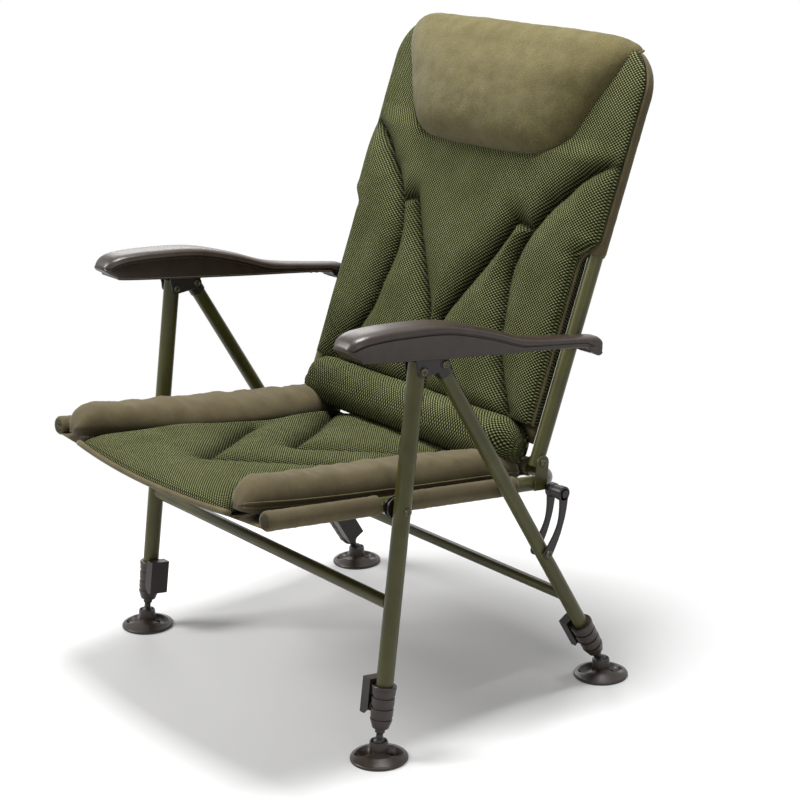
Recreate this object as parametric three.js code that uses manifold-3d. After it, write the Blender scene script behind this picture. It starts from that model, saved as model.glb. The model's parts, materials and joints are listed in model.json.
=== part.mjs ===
// A reclining fishing chair on four telescopic legs with swivelling mud feet.
//
// Millimetres, +Z up. The chair faces -Y and is centred on x = 0. The origin lies on the
// ground, below the centre of the whole chair. Pieces are built in the frame of the part that
// carries them, and the side view of the folding linkage sets where those frames go.

import * as THREE from 'three';
import { mergeVertices } from 'three/addons/utils/BufferGeometryUtils.js';
import Module from 'manifold-3d';

const wasm = await Module();
wasm.setup();

// Clearances
const gap = 0.3;
const runningGap = 0.45;
const cutOverrun = 6;

// Planes of the tubes, measured out from the middle of the chair
const legPlane = 312;
const railPlane = 278;

// Side view of the linkage: y runs to the rear and z up
const frontFootY = -291;
const rearFootY = 141;
const ballHeight = 24;
const legPivotY = -211;
const legPivotZ = 559.5;
const rearPivotSetback = 38;
const rearPivotRise = 3.5;
const seatPivotUpLeg = 342;
const hingeSetback = 277.4;
const hingeRise = 33;
const linkTopSetback = 292.4;
const linkTopDrop = 6;
const linkFootUpLeg = 244.3;
const tailPinUpBack = 185;
const legPivotBelowArmrest = 16.7;
const seatSlopeDegrees = 6.85;
const backTiltDegrees = 21.8;

// Tubes
const frontLegRadius = 12.5;
const rearLegRadius = 11;
const frameTubeRadius = 11;
const frontBarRadius = 9.5;
const rearBarRadius = 8.5;
const tubeWall = 1.5;
const tubeSides = 12;
const frameBoreSides = 8;
const bendSteps = 4;

// Leg ends, measured along the leg from the ball of its foot
const legTubeStart = 38;
const frontLegTopMargin = 12;
const rearLegTopMargin = 5.4;
const frontBarUpLeg = 204.7;
const rearBarUpLeg = 147;

// Collar that clamps the inner leg
const collarStart = 23;
const collarLength = 64;
const collarRadius = 17;
const collarWaistRadius = 16;
const collarMouthRadius = 11;
const collarTaper = 13;
const collarGrooveDepth = 1;
const collarGrooveWidth = 2.4;
const collarGroovePitch = 17;
const collarGrooveCount = 3;
const collarLowestGroove = 14;
const collarSlitWidth = 3;
const collarSlitBelowPin = 8.7;
const collarNotchWidth = 9;
const collarNotchDepth = 5;

// Cam lever on the inner side of each collar
const leverPinOut = 24;
const leverPinUp = 26;
const leverPinRadius = 2.4;
const leverWidth = 32;
const leverWall = 2.5;
const leverFaceOut = 30;
const leverAbovePin = 44;
const leverBelowPin = 9;
const leverLipClearance = 0.8;
const leverFootReach = 9;
const earWidth = 25.6;
const earHeight = 12;
const earBelowPin = 3.2;

// Inner leg and its ball stud
const innerLegRadius = 9;
const innerLegLength = 185;
const innerLegWall = 1.3;
const innerLegStart = 25;
const guideLength = 18;
const studRadius = 7.2;
const studPlugLength = 24;
const studFlange = 1.6;
const studNeckRadius = 5;
const studNeckLength = 5;
const ballRadius = 9.6;
const ballClearance = 0.9;

// Mud foot
const footRadius = 41.75;
const footRim = 4.5;
const footHubRadius = 13.5;
const footHubTopAboveBall = 4.6;
const footShoulderHeight = 15;
const footSkirtHeight = 7;
const bowlRadius = 21;
const bowlOffset = 23;
const bowlFloor = 3;
const pegHoleRadius = 2.2;
const pegHoleOut = 33;
const slotLength = 11;
const slotWidth = 6;
const slotOut = 17;
const footTurnDegrees = 50;
const footShoulderShare = 0.62;
const footHubChamfer = 1.35;
const footSides = 20;
const bowlSides = 12;
const bowlRows = 10;
const ballSides = 12;
const ballRows = 6;

// Brackets at the tops of the legs
const bracketPlate = 3.2;
const bracketSideGap = 0.4;
const bracketLobe = 9;
const bracketWebRise = 22.5;
const bracketWebThickness = 3.5;
const bracketHeadFront = 14;
const bracketHeadRear = 46;
const ferruleRadius = 12.5;
const ferruleBelowPin = 21;
const ferruleWall = 1.1;
const ferruleCap = 1.6;

// Pins and rivets
const pinRadius = 3;
const pinHeadRadius = 6;
const pinHeadHeight = 2.4;
const pinSides = 8;

// Armrest, measured from the pin at its tail: forward along its underside, and up
const armNoseTip = 453;
const armNoseUnder = 411;
const armTailEnd = 17.5;
const armHalfWidth = 26.5;
const armTailHalfWidth = 18;
const armWall = 3.4;
const armUnderside = 1.8;
const armHumpForward = 290;
const armHumpHeight = 49;
const armNoseHeight = 34;
const armValleyForward = 139;
const armValleyHeight = 22;
const armTailHeight = 15.5;
const armHookDrop = 12;
const armHookLength = 13;
const armCrown = 9;
const armHollowRear = 70;
const armHollowFrontWall = 8;
const armBoreDepth = 22;
const rackThickness = 8;
const rackReach = 92;
const rackDrop = 18;
const rackPitch = 18;
const rackToothRadius = 4.5;
const armCurveSteps = 60;
const armTailStations = 4;
const armMiddleStations = 11;
const armNoseStations = 5;
const armHollowStations = 9;
const armArcSteps = 6;
const rackRoofStations = 7;

// Shapes of the armrest's outline, as shares of the sizes above
const armTailTipShare = 0.5;
const armTailRootShare = 1.1;
const armTailRunShare = 0.45;
const armBulgeShare = 0.33;
const armHookRootShare = 0.33;
const armNoseNarrowingShare = 0.55;

// Link between the rear leg and the seat frame
const linkArmThickness = 4.6;
const linkEndRadius = 9;
const linkBarrelRadius = 11;
const linkBow = 9;
const linkBossRadius = 6;
const linkArmStations = 9;

// Bush between the armrest's tail and the back tube
const bushRadius = 9;

// Spacer between the seat rail and the front leg
const spacerFlangeRadius = 15.5;
const spacerWaistRadius = 12.5;
const spacerFlange = 2.6;

// Seat frame, measured from the seat pivot along the rails
const railFrontReach = 208;
const hingeToRearTube = 54.6;
const railRearReach = hingeSetback + hingeToRearTube;
const railBendRadius = 60;
const hingePlateWidth = 24;
const hingePlateThickness = 3;
const hingePlateBelowRail = 8;
const hingePadHeight = 7;

// Back frame, measured up the back from the hinge
const backTubeBelowHinge = 8;
const backHeight = 612;
const backBendRadius = 58;

// Fabric base of the seat and fabric panel of the back
const sleeveWall = 2.6;
const fabricThickness = 2.4;
const seatFabricDrop = 9;
const seatSleeveBeforePlate = 33.4;
const seatSleeveRear = hingeSetback - hingePlateWidth / 2 - seatSleeveBeforePlate;
const seatSleeveCutRadius = 17;
const rearSleeveInset = 10;
const backSleeveStart = 313;
const backPanelStart = 22;
const backPanelInset = 5;

// Seat cushion, measured from the rail's front end
const seatCushionFrontOverhang = 7;
const seatCushionBeforeHinge = 21.4;
const seatCushionRear = railFrontReach + hingeSetback - seatCushionBeforeHinge;
const seatCushionHalfWidth = 196;
const seatCushionCrown = 34;
const seatCushionEdge = 9;
const seatCushionShoulder = 27;
const seatCushionRows = 22;
const seatCushionColumns = 20;
const bolsterLength = 470;
const bolsterHalfWidth = 29;
const bolsterHeight = 48;
const bolsterCentre = 226;

// Back cushion, roll and pillow, measured up the back from the hinge
const backCushionStart = 48;
const backCushionHalfWidth = 262;
const backCushionCrown = 36;
const backCushionEdge = 8;
const backCushionShoulder = 24;
const backCushionRows = 24;
const backCushionColumns = 22;
const backCushionUnderPillow = 15;
const rollHeight = 66;
const rollThickness = 50;
const rollHalfWidth = 254;
const pillowFoot = 418;
const pillowTopMargin = 11;
const pillowTopHalfWidth = 250;
const pillowFootHalfWidth = 128;
const pillowCrown = 52;
const pillowEase = 50;
const pillowLead = 25;
const pillowFlareShare = 0.8;
const pillowRows = 12;
const pillowColumns = 16;

// How the stuffed rolls thin toward their ends, and how much of their round is sewn flat
const rollEndShare = 0.45;
const rollFlatShare = 0.85;
const rollStations = 11;
const rollSides = 10;

// Channels sewn into the cushions
const channelDepth = 22;
const channelWidth = 17;
const seatChevronApexes = [95, 245];
const seatChevronSpread = [100, 146];
const seatChevronRun = [160, 200];
const backVeeTop = 335;
const backVeeTopHalf = 122;
const backVeeFoot = 150;
const backVeeFootHalf = 12;
const backSideSeam = [
  { up: 440, out: 266 },
  { up: 387, out: 206 },
  { up: 313, out: 151 },
  { up: 250, out: 139 },
  { up: 190, out: 148 },
  { up: 120, out: 176 },
  { up: 60, out: 212 },
];

const seatSlope = THREE.MathUtils.degToRad(seatSlopeDegrees);
const backTilt = THREE.MathUtils.degToRad(backTiltDegrees);
const footTurn = THREE.MathUtils.degToRad(footTurnDegrees);
const quarterTurn = Math.PI / 2;
const sideways = new THREE.Vector3(1, 0, 0);

// Materials
const olivePaint = new THREE.MeshStandardMaterial({ color: 0x5a5c33, roughness: 0.35, metalness: 0.55 });
const darkPlastic = new THREE.MeshStandardMaterial({ color: 0x3a3230, roughness: 0.5, metalness: 0 });
const blackPlastic = new THREE.MeshStandardMaterial({ color: 0x1c1a19, roughness: 0.45, metalness: 0 });
const plainSteel = new THREE.MeshStandardMaterial({ color: 0x8f8d80, roughness: 0.3, metalness: 0.9 });
const spacerMesh = new THREE.MeshStandardMaterial({ color: 0x3c4a22, roughness: 0.95, metalness: 0 });
const fleece = new THREE.MeshStandardMaterial({ color: 0x5c5234, roughness: 1, metalness: 0 });
const brownCloth = new THREE.MeshStandardMaterial({ color: 0x4c4430, roughness: 0.9, metalness: 0 });

// Closed solids and how they are joined and cut

function signedVolume(positions, index) {
  const a = new THREE.Vector3();
  const b = new THREE.Vector3();
  const c = new THREE.Vector3();
  let sixfold = 0;
  for (let i = 0; i < index.length; i += 3) {
    a.fromArray(positions, index[i] * 3);
    b.fromArray(positions, index[i + 1] * 3);
    c.fromArray(positions, index[i + 2] * 3);
    sixfold += a.dot(b.cross(c));
  }
  return sixfold;
}

// Merges shared corners, drops slivers of no area and turns the faces outward.
function solidFrom(geometry) {
  const bare = geometry.clone();
  bare.deleteAttribute('normal');
  bare.deleteAttribute('uv');
  const merged = mergeVertices(bare);
  const positions = new Float32Array(merged.attributes.position.array);
  const corners = merged.index.array;
  const kept = [];
  for (let i = 0; i < corners.length; i += 3) {
    const [a, b, c] = corners.slice(i, i + 3);
    if (a !== b && b !== c && c !== a) kept.push(a, b, c);
  }
  if (signedVolume(positions, kept) < 0) kept.reverse();
  const triVerts = new Uint32Array(kept);
  return new wasm.Manifold(new wasm.Mesh({ numProp: 3, vertProperties: positions, triVerts }));
}

function geometryFrom(solid) {
  const { vertProperties, triVerts } = solid.getMesh();
  const geometry = new THREE.BufferGeometry();
  geometry.setAttribute('position', new THREE.BufferAttribute(new Float32Array(vertProperties), 3));
  geometry.setIndex(new THREE.BufferAttribute(new Uint32Array(triVerts), 1));
  geometry.computeVertexNormals();
  return geometry;
}

function joined(...geometries) {
  return geometries.map(solidFrom).reduce((sum, next) => sum.add(next));
}

function without(solid, ...geometries) {
  return geometries.map(solidFrom).reduce((rest, next) => rest.subtract(next), solid);
}

function named(name, solid, material) {
  const mesh = new THREE.Mesh(geometryFrom(solid), material);
  mesh.name = name;
  return mesh;
}

// Simple shapes

function circlePoints(radius, sides) {
  return Array.from({ length: sides }, (_, i) => {
    const angle = (i / sides) * 2 * Math.PI;
    return new THREE.Vector2(radius * Math.cos(angle), radius * Math.sin(angle));
  });
}

function ring(outer, inner, sides = tubeSides, boreSides = sides) {
  const shape = new THREE.Shape(circlePoints(outer, sides));
  if (inner > 0) shape.holes.push(new THREE.Path(circlePoints(inner, boreSides)));
  return shape;
}

// A path of straight runs, sampled only at the points it is given.
class PointPath extends THREE.Curve {
  constructor(points) {
    super();
    this.points = points;
  }

  getPoint(t, target = new THREE.Vector3()) {
    const place = t * (this.points.length - 1);
    const i = Math.min(Math.floor(place), this.points.length - 2);
    return target.lerpVectors(this.points[i], this.points[i + 1], place - i);
  }

  getPointAt(u, target) {
    return this.getPoint(u, target);
  }

  getTangentAt(u, target) {
    return this.getTangent(u, target);
  }
}

// Points of a path whose corners are rounded off.
function roundedPath(corners, radius) {
  const points = [corners[0]];
  for (let i = 1; i < corners.length - 1; i += 1) {
    const back = corners[i - 1].clone().sub(corners[i]).normalize();
    const ahead = corners[i + 1].clone().sub(corners[i]).normalize();
    const setback = radius / Math.tan(back.angleTo(ahead) / 2);
    const start = corners[i].clone().addScaledVector(back, setback);
    const end = corners[i].clone().addScaledVector(ahead, setback);
    const inward = back.clone().add(ahead).normalize();
    const centre = corners[i].clone().addScaledVector(inward, Math.hypot(radius, setback));
    for (let step = 0; step <= bendSteps; step += 1) {
      const share = step / bendSteps;
      const spoke = start.clone().sub(centre).lerp(end.clone().sub(centre), share);
      points.push(centre.clone().addScaledVector(spoke.normalize(), radius));
    }
  }
  points.push(corners[corners.length - 1]);
  return points;
}

function sweep(shape, points) {
  return new THREE.ExtrudeGeometry(shape, {
    steps: points.length - 1,
    extrudePath: new PointPath(points),
  });
}

// A straight tube or rod along z.
function tubeAlongZ(outer, inner, from, to, sides = tubeSides) {
  const run = { depth: to - from, bevelEnabled: false };
  const geometry = new THREE.ExtrudeGeometry(ring(outer, inner, sides), run);
  return geometry.translate(0, 0, from);
}

// The same along x.
function tubeAlongX(outer, inner, from, to, sides = tubeSides) {
  return tubeAlongZ(outer, inner, from, to, sides).rotateY(quarterTurn);
}

// A turned piece along z from [radius, height] pairs.
function turnedAlongZ(profile, sides = tubeSides) {
  const points = profile.map(([radius, height]) => new THREE.Vector2(radius, height));
  return new THREE.LatheGeometry(points, sides).rotateX(quarterTurn);
}

function box(x0, x1, y0, y1, z0, z1) {
  const geometry = new THREE.BoxGeometry(x1 - x0, y1 - y0, z1 - z0);
  return geometry.translate((x0 + x1) / 2, (y0 + y1) / 2, (z0 + z1) / 2);
}

// A side-view outline of [y, z] pairs, made as thick as the run from x0 to x1.
function slabAcross(outline, x0, x1) {
  const shape = new THREE.Shape(outline.map(([y, z]) => new THREE.Vector2(y, z)));
  const geometry = new THREE.ExtrudeGeometry(shape, { depth: x1 - x0, bevelEnabled: false });
  return geometry.applyMatrix4(new THREE.Matrix4().set(0, 0, 1, x0, 1, 0, 0, 0, 0, 1, 0, 0, 0, 0, 0, 1));
}

// A frame whose origin is a point of the side view and whose z axis leans back by a tilt.
function frameAt(point, tilt) {
  const group = new THREE.Group();
  group.position.copy(point);
  group.rotation.x = -tilt;
  return group;
}

function placed(point, tilt, rearward, up) {
  return new THREE.Vector3(0, rearward, up).applyAxisAngle(sideways, -tilt).add(point);
}

function leanBetween(low, high) {
  return Math.atan2(high.y - low.y, high.z - low.z);
}

// Places of the pivots in the side view
const frontBall = new THREE.Vector3(0, frontFootY, ballHeight);
const rearBall = new THREE.Vector3(0, rearFootY, ballHeight);
const frontLegPivot = new THREE.Vector3(0, legPivotY, legPivotZ);
const rearLegPivot = new THREE.Vector3(0, legPivotY + rearPivotSetback, legPivotZ + rearPivotRise);
const frontLean = leanBetween(frontBall, frontLegPivot);
const rearLean = leanBetween(rearBall, rearLegPivot);
const frontPivotUpLeg = frontBall.distanceTo(frontLegPivot);
const rearPivotUpLeg = rearBall.distanceTo(rearLegPivot);
const seatPivot = placed(frontBall, frontLean, 0, seatPivotUpLeg);
const backHinge = placed(seatPivot, seatSlope, hingeSetback, hingeRise);
const linkTop = placed(seatPivot, seatSlope, linkTopSetback, -linkTopDrop);
const linkFoot = placed(rearBall, rearLean, 0, linkFootUpLeg);
const tailPin = placed(backHinge, backTilt, 0, tailPinUpBack);
const armSpan = tailPin.distanceTo(frontLegPivot);
const armRise = Math.atan2(frontLegPivot.z - tailPin.z, tailPin.y - frontLegPivot.y);
const armSlope = armRise + Math.asin(legPivotBelowArmrest / armSpan);
const legPivotForward = Math.sqrt(armSpan ** 2 - legPivotBelowArmrest ** 2);

// Pins, rivets and their holes

// A rivet along x whose heads bear on the faces at x0 and x1.
function rivet(x0, x1) {
  const length = x1 - x0 + 2 * gap;
  const crown = pinHeadRadius - pinHeadHeight;
  const profile = [
    [0, -pinHeadHeight],
    [crown, -pinHeadHeight],
    [pinHeadRadius, 0],
    [pinRadius, 0],
    [pinRadius, length],
    [pinHeadRadius, length],
    [crown, length + pinHeadHeight],
    [0, length + pinHeadHeight],
  ];
  return turnedAlongZ(profile, pinSides).rotateY(quarterTurn).translate(x0 - gap, 0, 0);
}

// A hole along x at a place of the side view, for a pin that turns in it.
function pinHole(y, z, x0, x1) {
  const hole = tubeAlongX(pinRadius + runningGap, 0, x0 - cutOverrun, x1 + cutOverrun, pinSides);
  return hole.translate(0, y, z);
}

function crossHole(y, z, reach) {
  return pinHole(y, z, -reach, reach);
}

// Legs

function legTube(radius, top, pinPlaces) {
  const tube = solidFrom(tubeAlongZ(radius, radius - tubeWall, legTubeStart, top));
  return without(tube, ...pinPlaces.map((up) => crossHole(0, up, radius)));
}

function crossbar(radius, legRadius, lean) {
  const reach = legPlane - legRadius / 2;
  const bar = solidFrom(tubeAlongX(radius, radius - tubeWall, -reach, reach));
  const saddles = [-1, 1].map((side) => {
    const saddleReach = legRadius + radius + cutOverrun;
    const leg = tubeAlongZ(legRadius + gap, 0, -saddleReach, saddleReach);
    return leg.rotateX(-lean).translate(side * legPlane, 0, 0);
  });
  return without(bar, ...saddles);
}

function collar(legRadius) {
  const top = collarStart + collarLength;
  const outer = [
    [0, collarStart],
    [collarMouthRadius, collarStart],
    [collarWaistRadius, collarStart + collarTaper],
  ];
  for (let i = 0; i < collarGrooveCount; i += 1) {
    const low = collarStart + collarLowestGroove + i * collarGroovePitch;
    const lip = THREE.MathUtils.lerp(collarWaistRadius, collarRadius, i / collarGrooveCount);
    const floor = lip - collarGrooveDepth;
    outer.push([lip, low], [floor, low + collarGrooveWidth / 2], [lip, low + collarGrooveWidth]);
  }
  outer.push([collarRadius, top], [0, top]);
  const pinUp = collarStart + leverPinUp;
  const earHalf = earWidth / 2;
  const earFoot = pinUp - earBelowPin;
  const ear = box(-leverPinOut, -legRadius, -earHalf, earHalf, earFoot, earFoot + earHeight);
  const earNose = tubeAlongX(earBelowPin, 0, -earHalf, earHalf, pinSides).rotateZ(quarterTurn);
  earNose.translate(-leverPinOut, 0, pinUp);
  const body = joined(turnedAlongZ(outer), ear, earNose);
  const shoulder = legTubeStart - gap;
  return without(
    body,
    tubeAlongZ(innerLegRadius + runningGap, 0, collarStart - cutOverrun, top + cutOverrun),
    tubeAlongZ(legRadius + gap, 0, shoulder, top + cutOverrun),
    box(
      -leverPinOut - cutOverrun, 0, -collarSlitWidth / 2, collarSlitWidth / 2, pinUp - collarSlitBelowPin,
      top + cutOverrun,
    ),
    box(
      -collarNotchWidth / 2, collarNotchWidth / 2, -collarRadius - cutOverrun, collarRadius + cutOverrun,
      top - collarNotchDepth, top + cutOverrun,
    ),
    box(
      -leverPinOut, -legRadius - gap - tubeWall, -leverWidth / 2 - gap, leverWidth / 2 + gap,
      earFoot - leverBelowPin, earFoot,
    ),
    tubeAlongX(leverPinRadius + runningGap, 0, -earWidth, earWidth, pinSides)
      .rotateZ(quarterTurn)
      .translate(-leverPinOut, 0, pinUp),
  );
}

// The lever's own frame has its origin at its pin, with the leg at +x.
function camLever() {
  const face = leverFaceOut - leverPinOut;
  const half = leverWidth / 2;
  const wallIn = half - leverWall;
  const leverTopReach = leverPinOut - frontLegRadius - leverLipClearance;
  const outline = [
    [-face, -leverBelowPin],
    [leverFootReach - face, -leverBelowPin],
    [leverTopReach, 0],
    [leverTopReach, leverAbovePin],
    [-face, leverAbovePin],
  ];
  const shape = new THREE.Shape(outline.map(([x, z]) => new THREE.Vector2(x, z)));
  const block = new THREE.ExtrudeGeometry(shape, { depth: leverWidth, bevelEnabled: false });
  block.rotateX(quarterTurn).translate(0, half, 0);
  const pocket = box(
    leverWall - face, leverTopReach + cutOverrun, -wallIn, wallIn, -leverBelowPin - cutOverrun,
    leverAbovePin - leverWall,
  );
  const pin = tubeAlongX(leverPinRadius, 0, -wallIn - leverWall / 2, wallIn + leverWall / 2, pinSides);
  return without(solidFrom(block), pocket).add(solidFrom(pin.rotateZ(quarterTurn)));
}

function innerLeg(legRadius) {
  const top = innerLegStart + innerLegLength;
  const bore = innerLegRadius - innerLegWall;
  const guide = legRadius - tubeWall - runningGap;
  return solidFrom(turnedAlongZ([
    [bore, innerLegStart],
    [innerLegRadius, innerLegStart],
    [innerLegRadius, top - guideLength],
    [guide, top - guideLength],
    [guide, top],
    [bore, top],
    [bore, innerLegStart],
  ]));
}

function ballStud() {
  const flangeTop = innerLegStart - gap;
  const plug = innerLegRadius - innerLegWall - gap;
  const profile = [[0, -ballRadius]];
  const neckAngle = Math.PI - Math.asin(studNeckRadius / ballRadius);
  for (let i = 1; i <= ballRows; i += 1) {
    const angle = (i / ballRows) * neckAngle;
    profile.push([ballRadius * Math.sin(angle), -ballRadius * Math.cos(angle)]);
  }
  const neckTop = ballRadius + studNeckLength;
  profile.push([studNeckRadius, neckTop], [studRadius, neckTop + studNeckLength / 2]);
  profile.push([studRadius, flangeTop - studFlange], [innerLegRadius, flangeTop - studFlange]);
  profile.push([innerLegRadius, flangeTop], [plug, flangeTop]);
  profile.push([plug, flangeTop + studPlugLength], [0, flangeTop + studPlugLength]);
  return solidFrom(turnedAlongZ(profile, ballSides));
}

// The foot's own frame has its origin at the ball's centre.
function mudFoot() {
  const ground = -ballHeight;
  const disc = solidFrom(turnedAlongZ([
    [0, ground],
    [footRadius, ground],
    [footRadius, ground + footRim],
    [footRadius * footShoulderShare, ground + footSkirtHeight + footRim],
    [footHubRadius, ground + footShoulderHeight],
    [0, ground + footShoulderHeight],
  ], footSides));
  const bowls = [-1, 1].map((side) => {
    const bowl = new THREE.SphereGeometry(bowlRadius, bowlSides, bowlRows);
    return bowl.translate(side * bowlOffset, 0, ground + bowlFloor + bowlRadius);
  });
  const hub = solidFrom(turnedAlongZ([
    [0, ground + bowlFloor / 2],
    [footHubRadius, ground + bowlFloor / 2],
    [footHubRadius, -ballRadius / 2],
    [footHubRadius - footHubChamfer, footHubTopAboveBall],
    [0, footHubTopAboveBall],
  ], tubeSides));
  const socket = new THREE.SphereGeometry(ballRadius + ballClearance, ballSides, ballRows);
  const peg = tubeAlongZ(pegHoleRadius, 0, ground - cutOverrun, ground + footShoulderHeight, pinSides);
  const slot = box(
    slotOut - slotWidth / 2, slotOut + slotWidth / 2, -slotLength / 2, slotLength / 2, ground - cutOverrun,
    ground + footShoulderHeight,
  );
  return without(
    without(disc, ...bowls).add(hub),
    socket,
    peg.translate(-pegHoleOut, 0, 0),
    slot,
  );
}

// Bracket and ferrule at the top of the legs

// Built in the armrest's direction, with its origin at the front leg's pivot.
function legBracket(rearPin) {
  const inner = frontLegRadius + bracketSideGap;
  const outer = inner + bracketPlate;
  const headTop = bracketWebRise + bracketWebThickness;
  const lobes = [[0, 0], [rearPin.y, rearPin.z]].map(([y, z]) => (
    tubeAlongX(bracketLobe, 0, -outer, outer, tubeSides).translate(0, y, z)
  ));
  const outline = [
    [-bracketLobe, 0],
    [0, -bracketLobe],
    [rearPin.y, rearPin.z - bracketLobe],
    [rearPin.y + bracketLobe, rearPin.z],
    [bracketHeadRear, bracketWebRise],
    [bracketHeadRear, headTop],
    [-bracketHeadFront, headTop],
    [-bracketHeadFront, bracketWebRise],
  ];
  const channel = box(
    -inner, inner, -bracketHeadFront - cutOverrun, bracketHeadRear + cutOverrun,
    -bracketLobe - Math.abs(rearPin.z) - cutOverrun, bracketWebRise,
  );
  return without(
    joined(slabAcross(outline, -outer, outer), ...lobes),
    channel,
    crossHole(0, 0, outer),
    crossHole(rearPin.y, rearPin.z, outer),
  );
}

function ferrule() {
  const top = rearPivotUpLeg + rearLegTopMargin + gap;
  const bore = ferruleRadius - ferruleWall;
  const cup = solidFrom(turnedAlongZ([
    [bore, rearPivotUpLeg - ferruleBelowPin],
    [ferruleRadius, rearPivotUpLeg - ferruleBelowPin],
    [ferruleRadius, top],
    [ferruleRadius - ferruleCap, top + ferruleCap],
    [0, top + ferruleCap],
    [0, top],
    [bore, top],
    [bore, rearPivotUpLeg - ferruleBelowPin],
  ]));
  return without(cup, crossHole(0, rearPivotUpLeg, ferruleRadius));
}

// Armrest: a hollow moulding, open below, that slides over the bracket

// Heights of the crown along the armrest, from the tail to the nose.
function armCrownHeight(forward) {
  const bulge = armCrown * armBulgeShare;
  const places = [
    [-armTailEnd, armTailHeight * armTailTipShare],
    [0, armTailHeight],
    [armValleyForward * armTailRunShare, armTailHeight * armTailRootShare],
    [armValleyForward, armValleyHeight],
    [(armValleyForward + armHumpForward) / 2, (armValleyHeight + armHumpHeight) / 2 + bulge],
    [armHumpForward, armHumpHeight],
    [(armHumpForward + armNoseTip) / 2, armHumpHeight - bulge],
    [armNoseTip - armHalfWidth / 2, armNoseHeight],
    [armNoseTip, armNoseHeight / 2],
  ];
  const curve = new THREE.SplineCurve(places.map(([y, z]) => new THREE.Vector2(y, z)));
  const points = curve.getPoints(armCurveSteps);
  const after = points.findIndex((point) => point.x >= forward);
  if (after <= 0) return points[after === 0 ? 0 : points.length - 1].y;
  const share = (forward - points[after - 1].x) / (points[after].x - points[after - 1].x);
  return THREE.MathUtils.lerp(points[after - 1].y, points[after].y, share);
}

function armUnderHeight(forward) {
  if (forward < 0) {
    const roundShare = THREE.MathUtils.clamp((forward + armTailEnd) / (armTailEnd - armHookLength), 0, 1);
    return -armHookDrop * Math.sqrt(roundShare);
  }
  if (forward > armNoseUnder) {
    const noseShare = (forward - armNoseUnder) / (armNoseTip - armNoseUnder);
    return armUnderside + (armNoseHeight / 2 - armUnderside) * noseShare ** 2;
  }
  const settle = THREE.MathUtils.smoothstep(forward, 0, armTailEnd * 2);
  return THREE.MathUtils.lerp(-armHookDrop * armHookRootShare, armUnderside, settle);
}

function armHalfWidthAt(forward) {
  const swell = THREE.MathUtils.smoothstep(forward, armTailEnd, armHumpForward);
  const plain = THREE.MathUtils.lerp(armTailHalfWidth, armHalfWidth, swell);
  const noseShare = THREE.MathUtils.clamp((forward - armNoseUnder) / (armNoseTip - armNoseUnder), 0, 1);
  return plain * Math.sqrt(1 - armNoseNarrowingShare * noseShare ** 2);
}

// One ring of the loft: flat below, straight sides and a rounded crown.
function armSection(forward, inset, underside) {
  const half = armHalfWidthAt(forward) - inset;
  const crown = armCrownHeight(forward) - inset;
  const under = underside ?? armUnderHeight(forward);
  const edge = Math.max(crown - armCrown, (crown + under) / 2);
  const section = [];
  for (let i = 0; i <= armArcSteps; i += 1) {
    const angle = (i / armArcSteps) * Math.PI;
    const x = half * Math.sign(Math.cos(angle)) * Math.sqrt(Math.abs(Math.cos(angle)));
    section.push(new THREE.Vector3(x, -forward, edge + (crown - edge) * Math.sin(angle)));
  }
  section.push(new THREE.Vector3(-half, -forward, under));
  section.push(new THREE.Vector3(half, -forward, under));
  return section;
}

// A closed body through rings of equal point counts.
function loft(sections) {
  const count = sections[0].length;
  const points = sections.flat();
  const index = [];
  for (let s = 0; s < sections.length - 1; s += 1) {
    for (let i = 0; i < count; i += 1) {
      const a = s * count + i;
      const b = s * count + ((i + 1) % count);
      index.push(a, b, b + count, a, b + count, a + count);
    }
  }
  [0, sections.length - 1].forEach((s) => {
    const middle = new THREE.Vector3();
    sections[s].forEach((point) => middle.addScaledVector(point, 1 / count));
    points.push(middle);
    for (let i = 0; i < count; i += 1) {
      const a = s * count + i;
      const b = s * count + ((i + 1) % count);
      if (s === 0) index.push(b, a, points.length - 1);
      else index.push(a, b, points.length - 1);
    }
  });
  const geometry = new THREE.BufferGeometry().setFromPoints(points);
  geometry.setIndex(index);
  return geometry;
}

function stations(from, to, count) {
  return Array.from({ length: count }, (_, i) => THREE.MathUtils.lerp(from, to, i / (count - 1)));
}

function armrest(side) {
  const tail = stations(-armTailEnd, 0, armTailStations);
  const middle = stations(armTailEnd, armNoseUnder, armMiddleStations);
  const nose = stations(armNoseUnder, armNoseTip, armNoseStations).slice(1);
  const outside = loft([...tail, ...middle, ...nose].map((forward) => armSection(forward, 0)));
  const hollowEnd = armNoseTip - armHalfWidth / 2 - armHollowFrontWall;
  const hollow = loft(stations(armHollowRear, hollowEnd, armHollowStations).map((forward) => (
    armSection(forward, armWall, -cutOverrun)
  )));
  const shell = without(solidFrom(outside), hollow);
  const rackFrom = legPivotForward - rackReach;
  const rackTo = legPivotForward + rackReach;
  const roofLine = stations(rackFrom, rackTo, rackRoofStations).map((forward) => [
    -forward, armCrownHeight(forward) - armWall / 2,
  ]);
  const rack = slabAcross(
    [...roofLine, [-rackTo, rackDrop], [-rackFrom, rackDrop]], -rackThickness / 2, rackThickness / 2,
  );
  const notches = [];
  for (let at = rackFrom + rackPitch / 2; at < rackTo; at += rackPitch) {
    const notch = tubeAlongX(rackToothRadius, 0, -rackThickness, rackThickness, pinSides);
    notches.push(notch.translate(0, -at, rackDrop));
  }
  const bore = tubeAlongX(
    pinRadius + runningGap, 0, -armTailHalfWidth - cutOverrun, armBoreDepth - armTailHalfWidth, pinSides,
  ).rotateZ(side < 0 ? Math.PI : 0);
  return shell.add(without(solidFrom(rack), ...notches)).subtract(solidFrom(bore));
}

// Seat frame: a bent tube with the two hinge plates welded on

function frameTubeSection() {
  return ring(frameTubeRadius, frameTubeRadius - tubeWall, tubeSides, frameBoreSides);
}

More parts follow.
